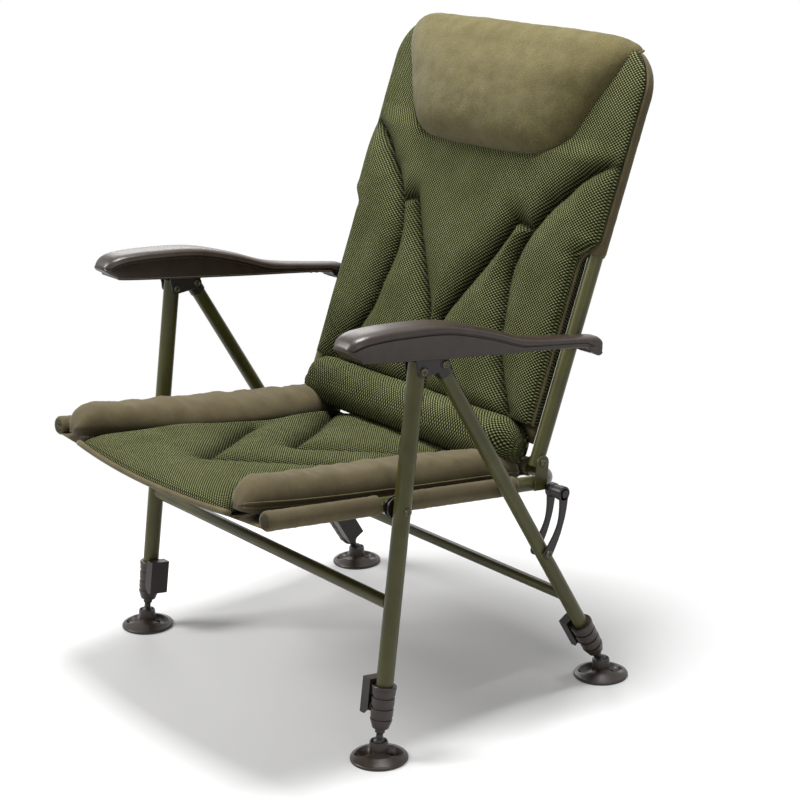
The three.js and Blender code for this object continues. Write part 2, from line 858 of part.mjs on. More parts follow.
function seatFrame() {
  const corners = [
    new THREE.Vector3(-railPlane, -railFrontReach, 0),
    new THREE.Vector3(-railPlane, railRearReach, 0),
    new THREE.Vector3(railPlane, railRearReach, 0),
    new THREE.Vector3(railPlane, -railFrontReach, 0),
  ];
  const tube = sweep(frameTubeSection(), roundedPath(corners, railBendRadius));
  let frame = without(solidFrom(tube), crossHole(0, 0, railPlane + frameTubeRadius));
  const plateIn = railPlane + frameTubeRadius + gap;
  const plateOut = plateIn + hingePlateThickness;
  const half = hingePlateWidth / 2;
  const padHalf = half - tubeWall;
  [-1, 1].forEach((side) => {
    const [x0, x1] = side < 0 ? [-plateOut, -plateIn] : [plateIn, plateOut];
    const padIn = railPlane + frameTubeRadius - tubeWall / 2;
    const [p0, p1] = side < 0 ? [-plateIn - tubeWall, -padIn] : [padIn, plateIn + tubeWall];
    const plate = box(x0, x1, hingeSetback - half, hingeSetback + half, -hingePlateBelowRail, hingeRise);
    const crown = tubeAlongX(half, 0, x0, x1).translate(0, hingeSetback, hingeRise);
    const pad = box(
      p0, p1, hingeSetback - padHalf, hingeSetback + padHalf, -hingePadHeight / 2, hingePadHeight / 2,
    );
    frame = frame.add(joined(plate, crown)).add(solidFrom(pad));
  });
  return without(frame, crossHole(hingeSetback, hingeRise, plateOut));
}

// Base fabric of the seat: a sheet with sleeves round the rails and the rear tube

function seatFabric() {
  const sleeveOut = frameTubeRadius + gap + sleeveWall;
  const rails = [-1, 1].map((side) => (
    tubeAlongZ(sleeveOut, 0, -railFrontReach, seatSleeveRear)
      .rotateX(-quarterTurn)
      .translate(side * railPlane, 0, 0)
  ));
  const rearReach = railPlane - railBendRadius - rearSleeveInset;
  const rear = tubeAlongX(sleeveOut, 0, -rearReach, rearReach).translate(0, railRearReach, 0);
  const low = -seatFabricDrop - fabricThickness / 2;
  const high = low + fabricThickness;
  const clearOfRail = railPlane - frameTubeRadius - gap;
  const front = box(-railPlane, railPlane, -railFrontReach, seatSleeveRear, low, high);
  const tail = box(-rearReach, rearReach, seatSleeveRear - cutOverrun, railRearReach, low, high);
  const shoulders = box(
    -clearOfRail, clearOfRail, seatSleeveRear - cutOverrun, railRearReach - railBendRadius, low, high,
  );
  const bores = [-1, 1].map((side) => (
    tubeAlongZ(frameTubeRadius + gap, 0, -railFrontReach - cutOverrun, railRearReach)
      .rotateX(-quarterTurn)
      .translate(side * railPlane, 0, 0)
  ));
  const rearBore = tubeAlongX(frameTubeRadius + gap, 0, -railPlane, railPlane);
  rearBore.translate(0, railRearReach, 0);
  const pivotCuts = [-1, 1].flatMap((side) => [
    tubeAlongX(seatSleeveCutRadius, 0, railPlane, railPlane + 2 * sleeveOut).scale(side, 1, 1),
    tubeAlongX(pinHeadRadius + gap, 0, railPlane - 2 * sleeveOut, railPlane).scale(side, 1, 1),
  ]);
  return without(joined(...rails, rear, front, tail, shoulders), ...bores, rearBore, ...pivotCuts);
}

// Padded pieces

// Distance from a point to a run of straight stitches.
function distanceToSeam(x, y, seam) {
  const point = new THREE.Vector3(x, y, 0);
  const nearest = new THREE.Vector3();
  let least = Infinity;
  for (let i = 0; i < seam.length - 1; i += 1) {
    const run = new THREE.Line3(
      new THREE.Vector3(seam[i][0], seam[i][1], 0),
      new THREE.Vector3(seam[i + 1][0], seam[i + 1][1], 0),
    );
    run.closestPointToPoint(point, true, nearest);
    least = Math.min(least, nearest.distanceTo(point));
  }
  return least;
}

// A pad with a flat back at height 0, a crowned front and drawn-in sides. Rows run up from
// "from" to "to", each as wide as halfWidth and as full as crown says for its place, which
// it reaches a shoulder's width in from its rim. Its seams pull channels into the front.
function pad({ from, to, rows, columns, halfWidth, crown, edge, shoulder, seams = [] }) {
  const points = [];
  for (let row = 0; row <= rows; row += 1) {
    const rowShare = row / rows;
    const y = THREE.MathUtils.lerp(from, to, rowShare);
    const half = halfWidth(y);
    for (let column = 0; column <= columns; column += 1) {
      const x = half * (2 * (column / columns) - 1);
      const inFromEnds = Math.min(y - from, to - y);
      const inFromSides = half - Math.abs(x);
      const rim = Math.min(inFromEnds, inFromSides) / shoulder;
      const full = edge + (crown(y) - edge) * Math.sqrt(1 - (1 - Math.min(rim, 1)) ** 2);
      const pull = seams.reduce((most, seam) => (
        Math.max(most, Math.exp(-((distanceToSeam(x, y, seam) / channelWidth) ** 2)))
      ), 0);
      const onRim = row === 0 || row === rows || column === 0 || column === columns;
      const height = onRim ? edge / 2 : full - Math.min(channelDepth, full - edge) * pull;
      points.push(new THREE.Vector3(x, y, height));
    }
  }
  const wide = columns + 1;
  const index = [];
  for (let row = 0; row < rows; row += 1) {
    for (let column = 0; column < columns; column += 1) {
      const a = row * wide + column;
      const b = a + wide;
      if (2 * column < columns) index.push(a, a + 1, b, a + 1, b + 1, b);
      else index.push(a, a + 1, b + 1, a, b + 1, b);
    }
  }
  const rimLoop = [];
  for (let column = 0; column < columns; column += 1) rimLoop.push(column);
  for (let row = 0; row < rows; row += 1) rimLoop.push(row * wide + columns);
  for (let column = columns; column > 0; column -= 1) rimLoop.push(rows * wide + column);
  for (let row = rows; row > 0; row -= 1) rimLoop.push(row * wide);
  const base = points.length;
  rimLoop.forEach((corner) => points.push(new THREE.Vector3(points[corner].x, points[corner].y, 0)));
  const middle = points.length;
  points.push(new THREE.Vector3(0, (from + to) / 2, 0));
  rimLoop.forEach((corner, i) => {
    const next = (i + 1) % rimLoop.length;
    index.push(corner, base + i, base + next, corner, base + next, rimLoop[next]);
    index.push(base + i, middle, base + next);
  });
  const geometry = new THREE.BufferGeometry().setFromPoints(points);
  geometry.setIndex(index);
  return geometry;
}

// A stuffed roll along x with a rounded front, flat where it is sewn down.
function roll(halfLength, height, thickness) {
  const sections = stations(-halfLength, halfLength, rollStations).map((x) => {
    const endShare = Math.min((halfLength - Math.abs(x)) / thickness, 1);
    const swell = THREE.MathUtils.lerp(rollEndShare, 1, Math.sqrt(1 - (1 - endShare) ** 2));
    return Array.from({ length: rollSides }, (_, i) => {
      const angle = (i / rollSides) * 2 * Math.PI;
      const y = swell * (height / 2) * Math.cos(angle);
      const z = (thickness / 2) * (rollFlatShare + swell * Math.max(Math.sin(angle), -rollFlatShare));
      return new THREE.Vector3(x, y, z);
    });
  });
  return loft(sections);
}

function seatCushion() {
  const seams = seatChevronApexes.flatMap((apex, i) => [-1, 1].map((side) => [
    [0, apex],
    [side * seatChevronSpread[i], apex + seatChevronRun[i]],
  ]));
  return pad({
    from: -seatCushionFrontOverhang,
    to: seatCushionRear,
    rows: seatCushionRows,
    columns: seatCushionColumns,
    halfWidth: () => seatCushionHalfWidth,
    crown: () => seatCushionCrown,
    edge: seatCushionEdge,
    shoulder: seatCushionShoulder,
    seams,
  });
}

// Half width of a rounded end, a distance past the start of its rounding.
function roundedCorner(past, radius) {
  return Math.sqrt(radius ** 2 - THREE.MathUtils.clamp(past, 0, radius) ** 2);
}

function backCushion() {
  const top = backHeight - frameTubeRadius - sleeveWall - 2 * gap;
  const corner = backBendRadius - frameTubeRadius - sleeveWall - 2 * gap;
  const vees = [-1, 1].map((side) => [
    [side * backVeeTopHalf, backVeeTop],
    [side * backVeeFootHalf, backVeeFoot],
  ]);
  const sides = [-1, 1].map((side) => backSideSeam.map(({ up, out }) => [side * out, up]));
  return pad({
    from: backCushionStart,
    to: top,
    rows: backCushionRows,
    columns: backCushionColumns,
    halfWidth: (y) => backCushionHalfWidth - corner + roundedCorner(y - top + corner, corner),
    crown: (y) => {
      const thinFrom = pillowFoot - pillowLead - pillowEase;
      const thinned = THREE.MathUtils.smoothstep(y, thinFrom, thinFrom + pillowEase);
      return THREE.MathUtils.lerp(backCushionCrown, backCushionUnderPillow, thinned);
    },
    edge: backCushionEdge,
    shoulder: backCushionShoulder,
    seams: [...vees, ...sides],
  });
}

function headPillow() {
  const top = backHeight + frameTubeRadius + pillowTopMargin;
  const flareLength = (top - pillowFoot) * pillowFlareShare;
  const flare = (y) => Math.sin(quarterTurn * Math.min((y - pillowFoot) / flareLength, 1));
  return pad({
    from: pillowFoot,
    to: top,
    rows: pillowRows,
    columns: pillowColumns,
    halfWidth: (y) => THREE.MathUtils.lerp(pillowFootHalfWidth, pillowTopHalfWidth, flare(y)),
    crown: () => pillowCrown,
    edge: backCushionEdge,
    shoulder: backCushionShoulder,
  });
}

// Back panel: a sheet between the back tubes with a pocket over their upper part

function backTubePath(start) {
  const corners = [
    new THREE.Vector3(-railPlane, 0, start),
    new THREE.Vector3(-railPlane, 0, backHeight),
    new THREE.Vector3(railPlane, 0, backHeight),
    new THREE.Vector3(railPlane, 0, start),
  ];
  return roundedPath(corners, backBendRadius);
}

function backFrame() {
  const tube = sweep(frameTubeSection(), backTubePath(-backTubeBelowHinge));
  const reach = railPlane + frameTubeRadius;
  return without(solidFrom(tube), crossHole(0, 0, reach));
}

function backPanel() {
  const sleeveOut = frameTubeRadius + gap + sleeveWall;
  const pocket = sweep(ring(sleeveOut, 0), backTubePath(backSleeveStart));
  const bore = sweep(ring(frameTubeRadius + gap, 0), backTubePath(backSleeveStart - cutOverrun));
  const clearOfTube = railPlane - frameTubeRadius - backPanelInset;
  const front = -fabricThickness;
  const lower = box(-clearOfTube, clearOfTube, front, 0, backPanelStart, backHeight);
  const upper = box(-railPlane, railPlane, front, 0, backSleeveStart, backHeight - backBendRadius);
  return without(joined(pocket, lower, upper), bore);
}

// Link between the rear leg and the seat frame: two arms joined by a barrel at the top

const linkLength = linkFoot.distanceTo(linkTop);

function bracingLink(side) {
  const inner = rearLegRadius + runningGap;
  const outer = inner + linkArmThickness;
  const bowed = (edge) => stations(0, 1, linkArmStations).map((share) => [
    edge * linkEndRadius + linkBow * Math.sin(Math.PI * share),
    share * linkLength,
  ]);
  const outline = [...bowed(-1), ...bowed(1).reverse()];
  const arms = [[-outer, -inner], [inner, outer]].flatMap(([x0, x1]) => [
    slabAcross(outline, x0, x1),
    tubeAlongX(linkEndRadius, 0, x0, x1),
    tubeAlongX(linkEndRadius, 0, x0, x1).translate(0, 0, linkLength),
  ]);
  const barrel = tubeAlongX(linkBarrelRadius, 0, -outer, outer).translate(0, 0, linkLength);
  const plateFace = legPlane - railPlane - frameTubeRadius - 2 * gap - hingePlateThickness;
  const bossSpan = side < 0 ? [-outer - pinHeadHeight, plateFace] : [-plateFace, outer + pinHeadHeight];
  const boss = tubeAlongX(linkBossRadius, 0, ...bossSpan).translate(0, 0, linkLength);
  return without(joined(...arms, barrel, boss), crossHole(0, 0, outer));
}

// Assembly

const chair = new THREE.Group();

function addLeg(row, side, ball, lean, radius, top, pinPlaces) {
  const leg = frameAt(ball.clone().setX(side * legPlane), lean);
  const hand = side < 0 ? 'left' : 'right';
  const turned = side < 0 ? Math.PI : 0;
  const clamp = named(`${row}_collar_${hand}`, collar(radius), darkPlastic);
  const lever = named(`${row}_cam_lever_${hand}`, camLever(), blackPlastic);
  clamp.rotation.z = turned;
  lever.rotation.z = turned;
  lever.position.set(-side * leverPinOut, 0, collarStart + leverPinUp);
  leg.add(
    named(`${row}_leg_${hand}`, legTube(radius, top, pinPlaces), olivePaint),
    clamp,
    lever,
    named(`${row}_inner_leg_${hand}`, innerLeg(radius), olivePaint),
    named(`${row}_ball_stud_${hand}`, ballStud(), blackPlastic),
  );
  const foot = named(`${row}_mud_foot_${hand}`, mudFoot(), darkPlastic);
  foot.position.copy(ball).setX(side * legPlane);
  foot.rotation.z = footTurn;
  chair.add(leg, foot);
  return leg;
}

function addCrossbar(name, ball, lean, up, radius, legRadius) {
  const frame = frameAt(placed(ball, lean, 0, up), 0);
  frame.add(named(name, crossbar(radius, legRadius, lean), olivePaint));
  chair.add(frame);
}

function addSide(side) {
  const hand = side < 0 ? 'left' : 'right';
  const across = (a, b) => (side < 0 ? [-b, -a] : [a, b]);
  const place = (point, lean, ...meshes) => {
    const frame = frameAt(point, lean);
    frame.add(...meshes);
    chair.add(frame);
  };

  const frontLegTop = frontPivotUpLeg + frontLegTopMargin;
  const rearLegTop = rearPivotUpLeg + rearLegTopMargin;
  const frontPins = [seatPivotUpLeg, frontPivotUpLeg];
  addLeg('front', side, frontBall, frontLean, frontLegRadius, frontLegTop, frontPins);
  const rearLeg = addLeg(
    'rear', side, rearBall, rearLean, rearLegRadius, rearLegTop, [linkFootUpLeg, rearPivotUpLeg],
  );
  rearLeg.add(named(`rear_leg_ferrule_${hand}`, ferrule(), blackPlastic));

  const plateOut = frontLegRadius + bracketSideGap + bracketPlate;
  const bracketSpan = [side * legPlane - plateOut, side * legPlane + plateOut];
  const rearPin = rearLegPivot.clone().sub(frontLegPivot).applyAxisAngle(sideways, armSlope);
  const bracket = named(`leg_bracket_${hand}`, legBracket(rearPin), blackPlastic);
  bracket.position.x = side * legPlane;
  place(
    frontLegPivot, armSlope, bracket,
    named(`front_leg_pin_${hand}`, solidFrom(rivet(...bracketSpan)), plainSteel),
  );
  place(rearLegPivot, rearLean, named(`rear_leg_pin_${hand}`, solidFrom(rivet(...bracketSpan)), plainSteel));

  const railIn = railPlane - frameTubeRadius;
  const railOut = railPlane + frameTubeRadius;
  const seatPin = rivet(...across(railIn, legPlane + frontLegRadius));
  const spacerLength = legPlane - frontLegRadius - railOut - 2 * gap;
  const spacer = turnedAlongZ([
    [pinRadius + runningGap, 0],
    [spacerFlangeRadius, 0],
    [spacerFlangeRadius, spacerFlange],
    [spacerWaistRadius, spacerFlange],
    [spacerWaistRadius, spacerLength - spacerFlange],
    [spacerFlangeRadius, spacerLength - spacerFlange],
    [spacerFlangeRadius, spacerLength],
    [pinRadius + runningGap, spacerLength],
    [pinRadius + runningGap, 0],
  ]).rotateY(side * quarterTurn).translate(side * (railOut + gap), 0, 0);
  place(
    seatPivot, frontLean,
    named(`seat_pivot_pin_${hand}`, solidFrom(seatPin), plainSteel),
    named(`seat_pivot_spacer_${hand}`, solidFrom(spacer), blackPlastic),
  );

  const hingePin = rivet(...across(railIn, railOut + gap + hingePlateThickness));
  place(backHinge, seatSlope, named(`back_hinge_pin_${hand}`, solidFrom(hingePin), plainSteel));

  const linkReach = rearLegRadius + runningGap + linkArmThickness;
  const link = named(`bracing_link_${hand}`, bracingLink(side), blackPlastic);
  link.position.x = side * legPlane;
  const linkPin = rivet(side * legPlane - linkReach, side * legPlane + linkReach);
  place(
    linkFoot, leanBetween(linkFoot, linkTop), link,
    named(`link_pin_${hand}`, solidFrom(linkPin), plainSteel),
  );

  const arm = named(`armrest_${hand}`, armrest(side), darkPlastic);
  arm.position.x = side * legPlane;
  const tailIn = legPlane - armTailHalfWidth;
  const tailEnd = tailIn + armBoreDepth - gap - pinHeadHeight;
  const tailPinStart = railOut + gap;
  const tailPinShape = turnedAlongZ([
    [0, 0],
    [pinRadius, 0],
    [pinRadius, tailEnd - tailPinStart],
    [0, tailEnd - tailPinStart],
  ], pinSides).rotateY(side * quarterTurn).translate(side * tailPinStart, 0, 0);
  const bush = tubeAlongX(
    bushRadius, pinRadius + runningGap, ...across(railOut + gap, tailIn - gap),
  );
  place(
    tailPin, armSlope, arm,
    named(`tail_pin_${hand}`, solidFrom(tailPinShape), plainSteel),
    named(`tail_bush_${hand}`, solidFrom(bush), blackPlastic),
  );
}

addSide(-1);
addSide(1);
addCrossbar('front_crossbar', frontBall, frontLean, frontBarUpLeg, frontBarRadius, frontLegRadius);
addCrossbar('rear_crossbar', rearBall, rearLean, rearBarUpLeg, rearBarRadius, rearLegRadius);

// Seat
const seat = frameAt(seatPivot, seatSlope);
seat.add(
  named('seat_frame', seatFrame(), olivePaint),
  named('seat_fabric', seatFabric(), brownCloth),
);
const onSeatFabric = gap + fabricThickness / 2 - seatFabricDrop;
const seatPad = named('seat_cushion', solidFrom(seatCushion()), spacerMesh);
seatPad.position.set(0, -railFrontReach, onSeatFabric);
seat.add(seatPad);
[-1, 1].forEach((side) => {
  const bolster = named(
    `side_bolster_${side < 0 ? 'left' : 'right'}`,
    solidFrom(roll(bolsterLength / 2, 2 * bolsterHalfWidth, bolsterHeight)),
    brownCloth,
  );
  bolster.rotation.z = quarterTurn;
  bolster.position.set(side * bolsterCentre, bolsterLength / 2 - railFrontReach, onSeatFabric);
  seat.add(bolster);
});
chair.add(seat);

// Back: its cushions lie in front of the panel, which is toward -y
const back = frameAt(backHinge, backTilt);
back.add(
  named('back_frame', backFrame(), olivePaint),
  named('back_panel', backPanel(), brownCloth),
);
const padFront = -fabricThickness - gap;
const backPad = named('back_cushion', solidFrom(backCushion()), spacerMesh);
const rollShape = roll(rollHalfWidth, rollHeight, rollThickness);
const lumbarRoll = named('lumbar_roll', solidFrom(rollShape), spacerMesh);
const pillow = named('head_pillow', solidFrom(headPillow()), fleece);
[backPad, lumbarRoll, pillow].forEach((piece) => {
  piece.rotation.x = quarterTurn;
  piece.position.y = padFront;
});
lumbarRoll.position.z = backCushionStart - gap - rollHeight / 2;
pillow.position.y = padFront - backCushionUnderPillow - gap;
back.add(backPad, lumbarRoll, pillow);
chair.add(back);

// The origin goes below the centre of the whole chair.
chair.updateMatrixWorld(true);
const bounds = new THREE.Box3().setFromObject(chair, true);
chair.position.y = -bounds.getCenter(new THREE.Vector3()).y;
chair.updateMatrixWorld(true);

export default chair;
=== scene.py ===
# The looks of a reclining fishing chair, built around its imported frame. Metres, +Z up.

import json
import math

import bpy
import numpy as np
from mathutils import Matrix, Vector, noise


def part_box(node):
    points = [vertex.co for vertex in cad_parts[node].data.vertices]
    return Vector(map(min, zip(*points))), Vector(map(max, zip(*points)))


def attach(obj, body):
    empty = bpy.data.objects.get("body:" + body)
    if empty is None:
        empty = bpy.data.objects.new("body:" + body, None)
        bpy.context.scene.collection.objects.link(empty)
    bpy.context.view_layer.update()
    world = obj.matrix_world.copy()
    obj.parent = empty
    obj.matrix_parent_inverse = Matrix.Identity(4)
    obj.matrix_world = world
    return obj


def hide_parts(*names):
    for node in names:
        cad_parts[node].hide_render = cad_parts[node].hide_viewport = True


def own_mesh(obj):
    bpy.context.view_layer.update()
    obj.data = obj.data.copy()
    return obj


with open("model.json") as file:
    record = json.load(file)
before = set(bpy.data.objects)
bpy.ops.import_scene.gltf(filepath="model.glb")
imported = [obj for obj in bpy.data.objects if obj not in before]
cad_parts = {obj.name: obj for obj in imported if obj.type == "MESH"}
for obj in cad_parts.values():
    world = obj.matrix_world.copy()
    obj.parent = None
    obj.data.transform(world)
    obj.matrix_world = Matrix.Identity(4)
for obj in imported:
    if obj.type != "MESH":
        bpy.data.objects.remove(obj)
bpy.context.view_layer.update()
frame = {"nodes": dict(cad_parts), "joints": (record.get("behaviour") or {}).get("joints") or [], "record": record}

MM = 0.001

# Places of the pivots, from the frame's own joints
joints = {joint["name"]: joint for joint in frame["joints"]}


def place_of(joint):
    return Vector(joints[joint]["pos_m"])


def lean_of(joint):
    axis = Vector(joints[joint]["axis"])
    return math.atan2(-axis.y, -axis.z)


SEAT_PIVOT = place_of("fold")
BACK_HINGE = place_of("recline")
TAIL_PIN = place_of("armrest_tilt")
LEG_PIVOT = place_of("bracket_turn")
REAR_PIVOT = place_of("rear_leg_swing")
LINK_FOOT = place_of("link_swing")
SEAT_SLOPE = math.radians(6.85)
BACK_TILT = math.radians(21.8)
LEG_PLANE = abs(place_of("foot_tilt_front_right").x)
RAIL_PLANE = 278 * MM
TUBE_RADIUS = 11 * MM
SLEEVE_RADIUS = 13.9 * MM
RAIL_FRONT = 208 * MM
RAIL_REAR = 332 * MM
RAIL_BEND = 60 * MM
BACK_TOP = 612 * MM
BACK_BEND = 58 * MM
BACK_BELOW_HINGE = 8 * MM
SIDES = (("left", -1), ("right", 1))


def frame_at(point, lean):
    """A local frame at a point, leaned back about x."""
    return Matrix.Translation(point) @ Matrix.Rotation(-lean, 4, "X")


def metres(places):
    """Places that are written in millimetres."""
    return [tuple(value * MM for value in place) for place in places]


def legs():
    """Row, hand, side, centre of the ball and local frame of each leg."""
    for row in ("front", "rear"):
        for hand, side in SIDES:
            ball = place_of(f"foot_tilt_{row}_{hand}")
            yield row, hand, side, ball, frame_at(ball, lean_of(f"leg_slide_{row}_{hand}"))


def pivot_height(row, ball):
    """How far a leg's pivot is from its ball."""
    pivot = LEG_PIVOT if row == "front" else REAR_PIVOT
    return (Vector((ball.x, pivot.y, pivot.z)) - ball).length


SEAT = frame_at(SEAT_PIVOT, SEAT_SLOPE)
BACK = frame_at(BACK_HINGE, BACK_TILT)

# Camera, floor and light

# The camera stands where the photograph's perspective puts it. These places are from before
# the chair's origin was moved along y to below its centre, when the seat pivot had the y below.
CAMERA_PLACE = Vector((2.41797, -1.87879, 1.34872))
CAMERA_AIM = Vector((0.00222, 0.00043, 0.40047))
CAMERA_ROLL = -0.02
FOCAL_PIXELS = 2055.27
PHOTO_PIXELS = 800
SENSOR = 36
UNSHIFTED_PIVOT_Y = -240.47 * MM
FLOOR_REACH = 30
SHADOW_FROM = 0.42
SHADOW_TO = 0.85
SHADOW_VEIL = 0.08
WORLD_LIGHT = 0.22
LAMP_AIM = Vector((0, 0, 0.45))
LAMPS = (
    ("key", (-1.9, -2.2, 2.5), 1.0, 80),
    ("top", (0.0, 0.1, 3.0), 1.1, 120),
    ("rim", (-2.6, 1.4, 1.8), 1.2, 18),
    ("fill", (2.8, -0.6, 1.7), 1.4, 9),
)


def srgb(*levels):
    """A colour as it is seen, 0 to 255, in the linear light that shaders use."""
    shares = [level / 255 for level in levels]
    return tuple(s / 12.92 if s <= 0.04045 else ((s + 0.055) / 1.055) ** 2.4 for s in shares) + (1.0,)


def in_scene(name, data):
    thing = bpy.data.objects.new(name, data)
    bpy.context.scene.collection.objects.link(thing)
    return thing


def make_camera():
    shift = Vector((0, SEAT_PIVOT.y - UNSHIFTED_PIVOT_Y, 0))
    camera = bpy.data.cameras.new("photo_camera")
    camera.sensor_width = SENSOR
    camera.lens = FOCAL_PIXELS * SENSOR / PHOTO_PIXELS
    camera.clip_start = 0.05
    camera.clip_end = 100
    holder = in_scene("photo_camera", camera)
    place = CAMERA_PLACE + shift
    turn = (CAMERA_AIM + shift - place).to_track_quat("-Z", "Y").to_matrix().to_4x4()
    holder.matrix_world = Matrix.Translation(place) @ turn @ Matrix.Rotation(CAMERA_ROLL, 4, "Z")
    bpy.context.scene.camera = holder


class Nodes:
    """Short calls that build a tree of shader nodes."""

    def __init__(self, tree):
        self.tree = tree

    def add(self, kind, **settings):
        node = self.tree.nodes.new(kind)
        for key, value in settings.items():
            setattr(node, key, value)
        return node

    def link(self, a, b):
        self.tree.links.new(a, b)

    def fill(self, socket, value):
        if isinstance(value, (int, float, tuple)):
            socket.default_value = value
        else:
            self.link(value, socket)

    def math(self, operation, a, b, clamp=False):
        node = self.add("ShaderNodeMath", operation=operation, use_clamp=clamp)
        self.fill(node.inputs[0], a)
        self.fill(node.inputs[1], b)
        return node.outputs[0]

    def spread(self, value, low, high, **settings):
        """Spreads a value over a range from low to high."""
        node = self.add("ShaderNodeMapRange", **settings)
        node.inputs["To Min"].default_value = low
        node.inputs["To Max"].default_value = high
        self.link(value, node.inputs["Value"])
        return node

    def seen_share(self):
        """1 for what the camera sees, in reflections too, and 0 for the light on the chair."""
        path = self.add("ShaderNodeLightPath")
        total = path.outputs["Is Camera Ray"]
        for ray in ("Is Glossy Ray", "Is Transmission Ray"):
            total = self.math("ADD", total, path.outputs[ray], clamp=True)
        return total


def make_floor():
    """A pale floor that shows the shadow near the chair and is plain white further out."""
    near, far = -FLOOR_REACH, FLOOR_REACH
    mesh = bpy.data.meshes.new("floor")
    mesh.from_pydata([(near, near, 0), (far, near, 0), (far, far, 0), (near, far, 0)], [], [(0, 1, 2, 3)])
    floor = in_scene("floor", mesh)
    material = bpy.data.materials.new("floor")
    material.use_nodes = True
    material.node_tree.nodes.clear()
    nodes = Nodes(material.node_tree)
    lit = nodes.add("ShaderNodeBsdfDiffuse")
    lit.inputs["Color"].default_value = srgb(242, 242, 242)
    glow = nodes.add("ShaderNodeEmission")
    glow.inputs["Strength"].default_value = 1
    out_from_chair = nodes.add("ShaderNodeVectorMath", operation="LENGTH")
    nodes.link(nodes.add("ShaderNodeTexCoord").outputs["Object"], out_from_chair.inputs[0])
    rise = nodes.spread(out_from_chair.outputs["Value"], SHADOW_VEIL, 1, interpolation_type="SMOOTHSTEP")
    rise.inputs["From Min"].default_value = SHADOW_FROM
    rise.inputs["From Max"].default_value = SHADOW_TO
    mix = nodes.add("ShaderNodeMixShader")
    nodes.link(nodes.math("MULTIPLY", nodes.seen_share(), rise.outputs[0]), mix.inputs["Fac"])
    nodes.link(lit.outputs[0], mix.inputs[1])
    nodes.link(glow.outputs[0], mix.inputs[2])
    nodes.link(mix.outputs[0], nodes.add("ShaderNodeOutputMaterial").inputs["Surface"])
    mesh.materials.append(material)


def make_world():
    world = bpy.data.worlds.new("studio")
    bpy.context.scene.world = world
    world.use_nodes = True
    world.node_tree.nodes.clear()
    nodes = Nodes(world.node_tree)
    background = nodes.add("ShaderNodeBackground")
    background.inputs["Color"].default_value = (1, 1, 1, 1)
    level = nodes.spread(nodes.seen_share(), WORLD_LIGHT, 1)
    nodes.link(level.outputs[0], background.inputs["Strength"])
    nodes.link(background.outputs[0], nodes.add("ShaderNodeOutputWorld").inputs["Surface"])


def make_lamps():
    for name, place, size, power in LAMPS:
        lamp = bpy.data.lights.new(name, "AREA")
        lamp.shape = "SQUARE"
        lamp.size = size
        lamp.energy = power
        holder = in_scene(name, lamp)
        holder.location = place
        holder.rotation_mode = "QUATERNION"
        holder.rotation_quaternion = (LAMP_AIM - Vector(place)).to_track_quat("-Z", "Y")


# Materials


class Finish(Nodes):
    """A material with a principled shader."""

    def __init__(self, name, roughness, metallic=0.0, sheen=0.0, specular=0.5):
        self.material = bpy.data.materials.new(name)
        self.material.use_nodes = True
        super().__init__(self.material.node_tree)
        self.shader = self.tree.nodes["Principled BSDF"]
        self.shader.inputs["Roughness"].default_value = roughness
        self.shader.inputs["Metallic"].default_value = metallic
        self.shader.inputs["Sheen Weight"].default_value = sheen
        self.shader.inputs["Sheen Roughness"].default_value = 0.5
        self.shader.inputs["Specular IOR Level"].default_value = specular

    def places(self):
        return self.add("ShaderNodeTexCoord").outputs["Object"]

    def noise(self, size, detail=3, roughness=0.55):
        node = self.add("ShaderNodeTexNoise")
        node.inputs["Scale"].default_value = 1 / size
        node.inputs["Detail"].default_value = detail
        node.inputs["Roughness"].default_value = roughness
        self.link(self.places(), node.inputs["Vector"])
        return node.outputs["Fac"]

    def ramp(self, value, *stops):
        node = self.add("ShaderNodeValToRGB")
        elements = node.color_ramp.elements
        while len(elements) < len(stops):
            elements.new(0.5)
        for element, (position, colour) in zip(elements, stops):
            element.position = position
            element.color = colour
        self.link(value, node.inputs[0])
        return node.outputs["Color"]

    def mix(self, share, a, b, blend="MIX"):
        node = self.add("ShaderNodeMix", data_type="RGBA", blend_type=blend)
        self.fill(node.inputs[0], share)
        self.fill(node.inputs[6], a)
        self.fill(node.inputs[7], b)
        return node.outputs[2]

    def painted_shade_share(self, most):
        """How much painted shade darkens a place in a sewn channel or under a roll, up to the given share."""
        value = self.add("ShaderNodeAttribute", attribute_name="painted_shade").outputs["Fac"]
        return self.math("MULTIPLY", value, most)

    def colour(self, value):
        self.link(value, self.shader.inputs["Base Color"])

    def rough(self, value, low, high):
        self.link(self.spread(value, low, high).outputs[0], self.shader.inputs["Roughness"])

    def bump(self, *heights):
        """Stacks bumps from (height, strength, depth in metres) entries."""
        normal = None
        for height, strength, depth in heights:
            node = self.add("ShaderNodeBump")
            node.inputs["Strength"].default_value = strength
            node.inputs["Distance"].default_value = depth
            self.link(height, node.inputs["Height"])
            if normal is not None:
                self.link(normal, node.inputs["Normal"])
            normal = node.outputs[0]
        self.link(normal, self.shader.inputs["Normal"])


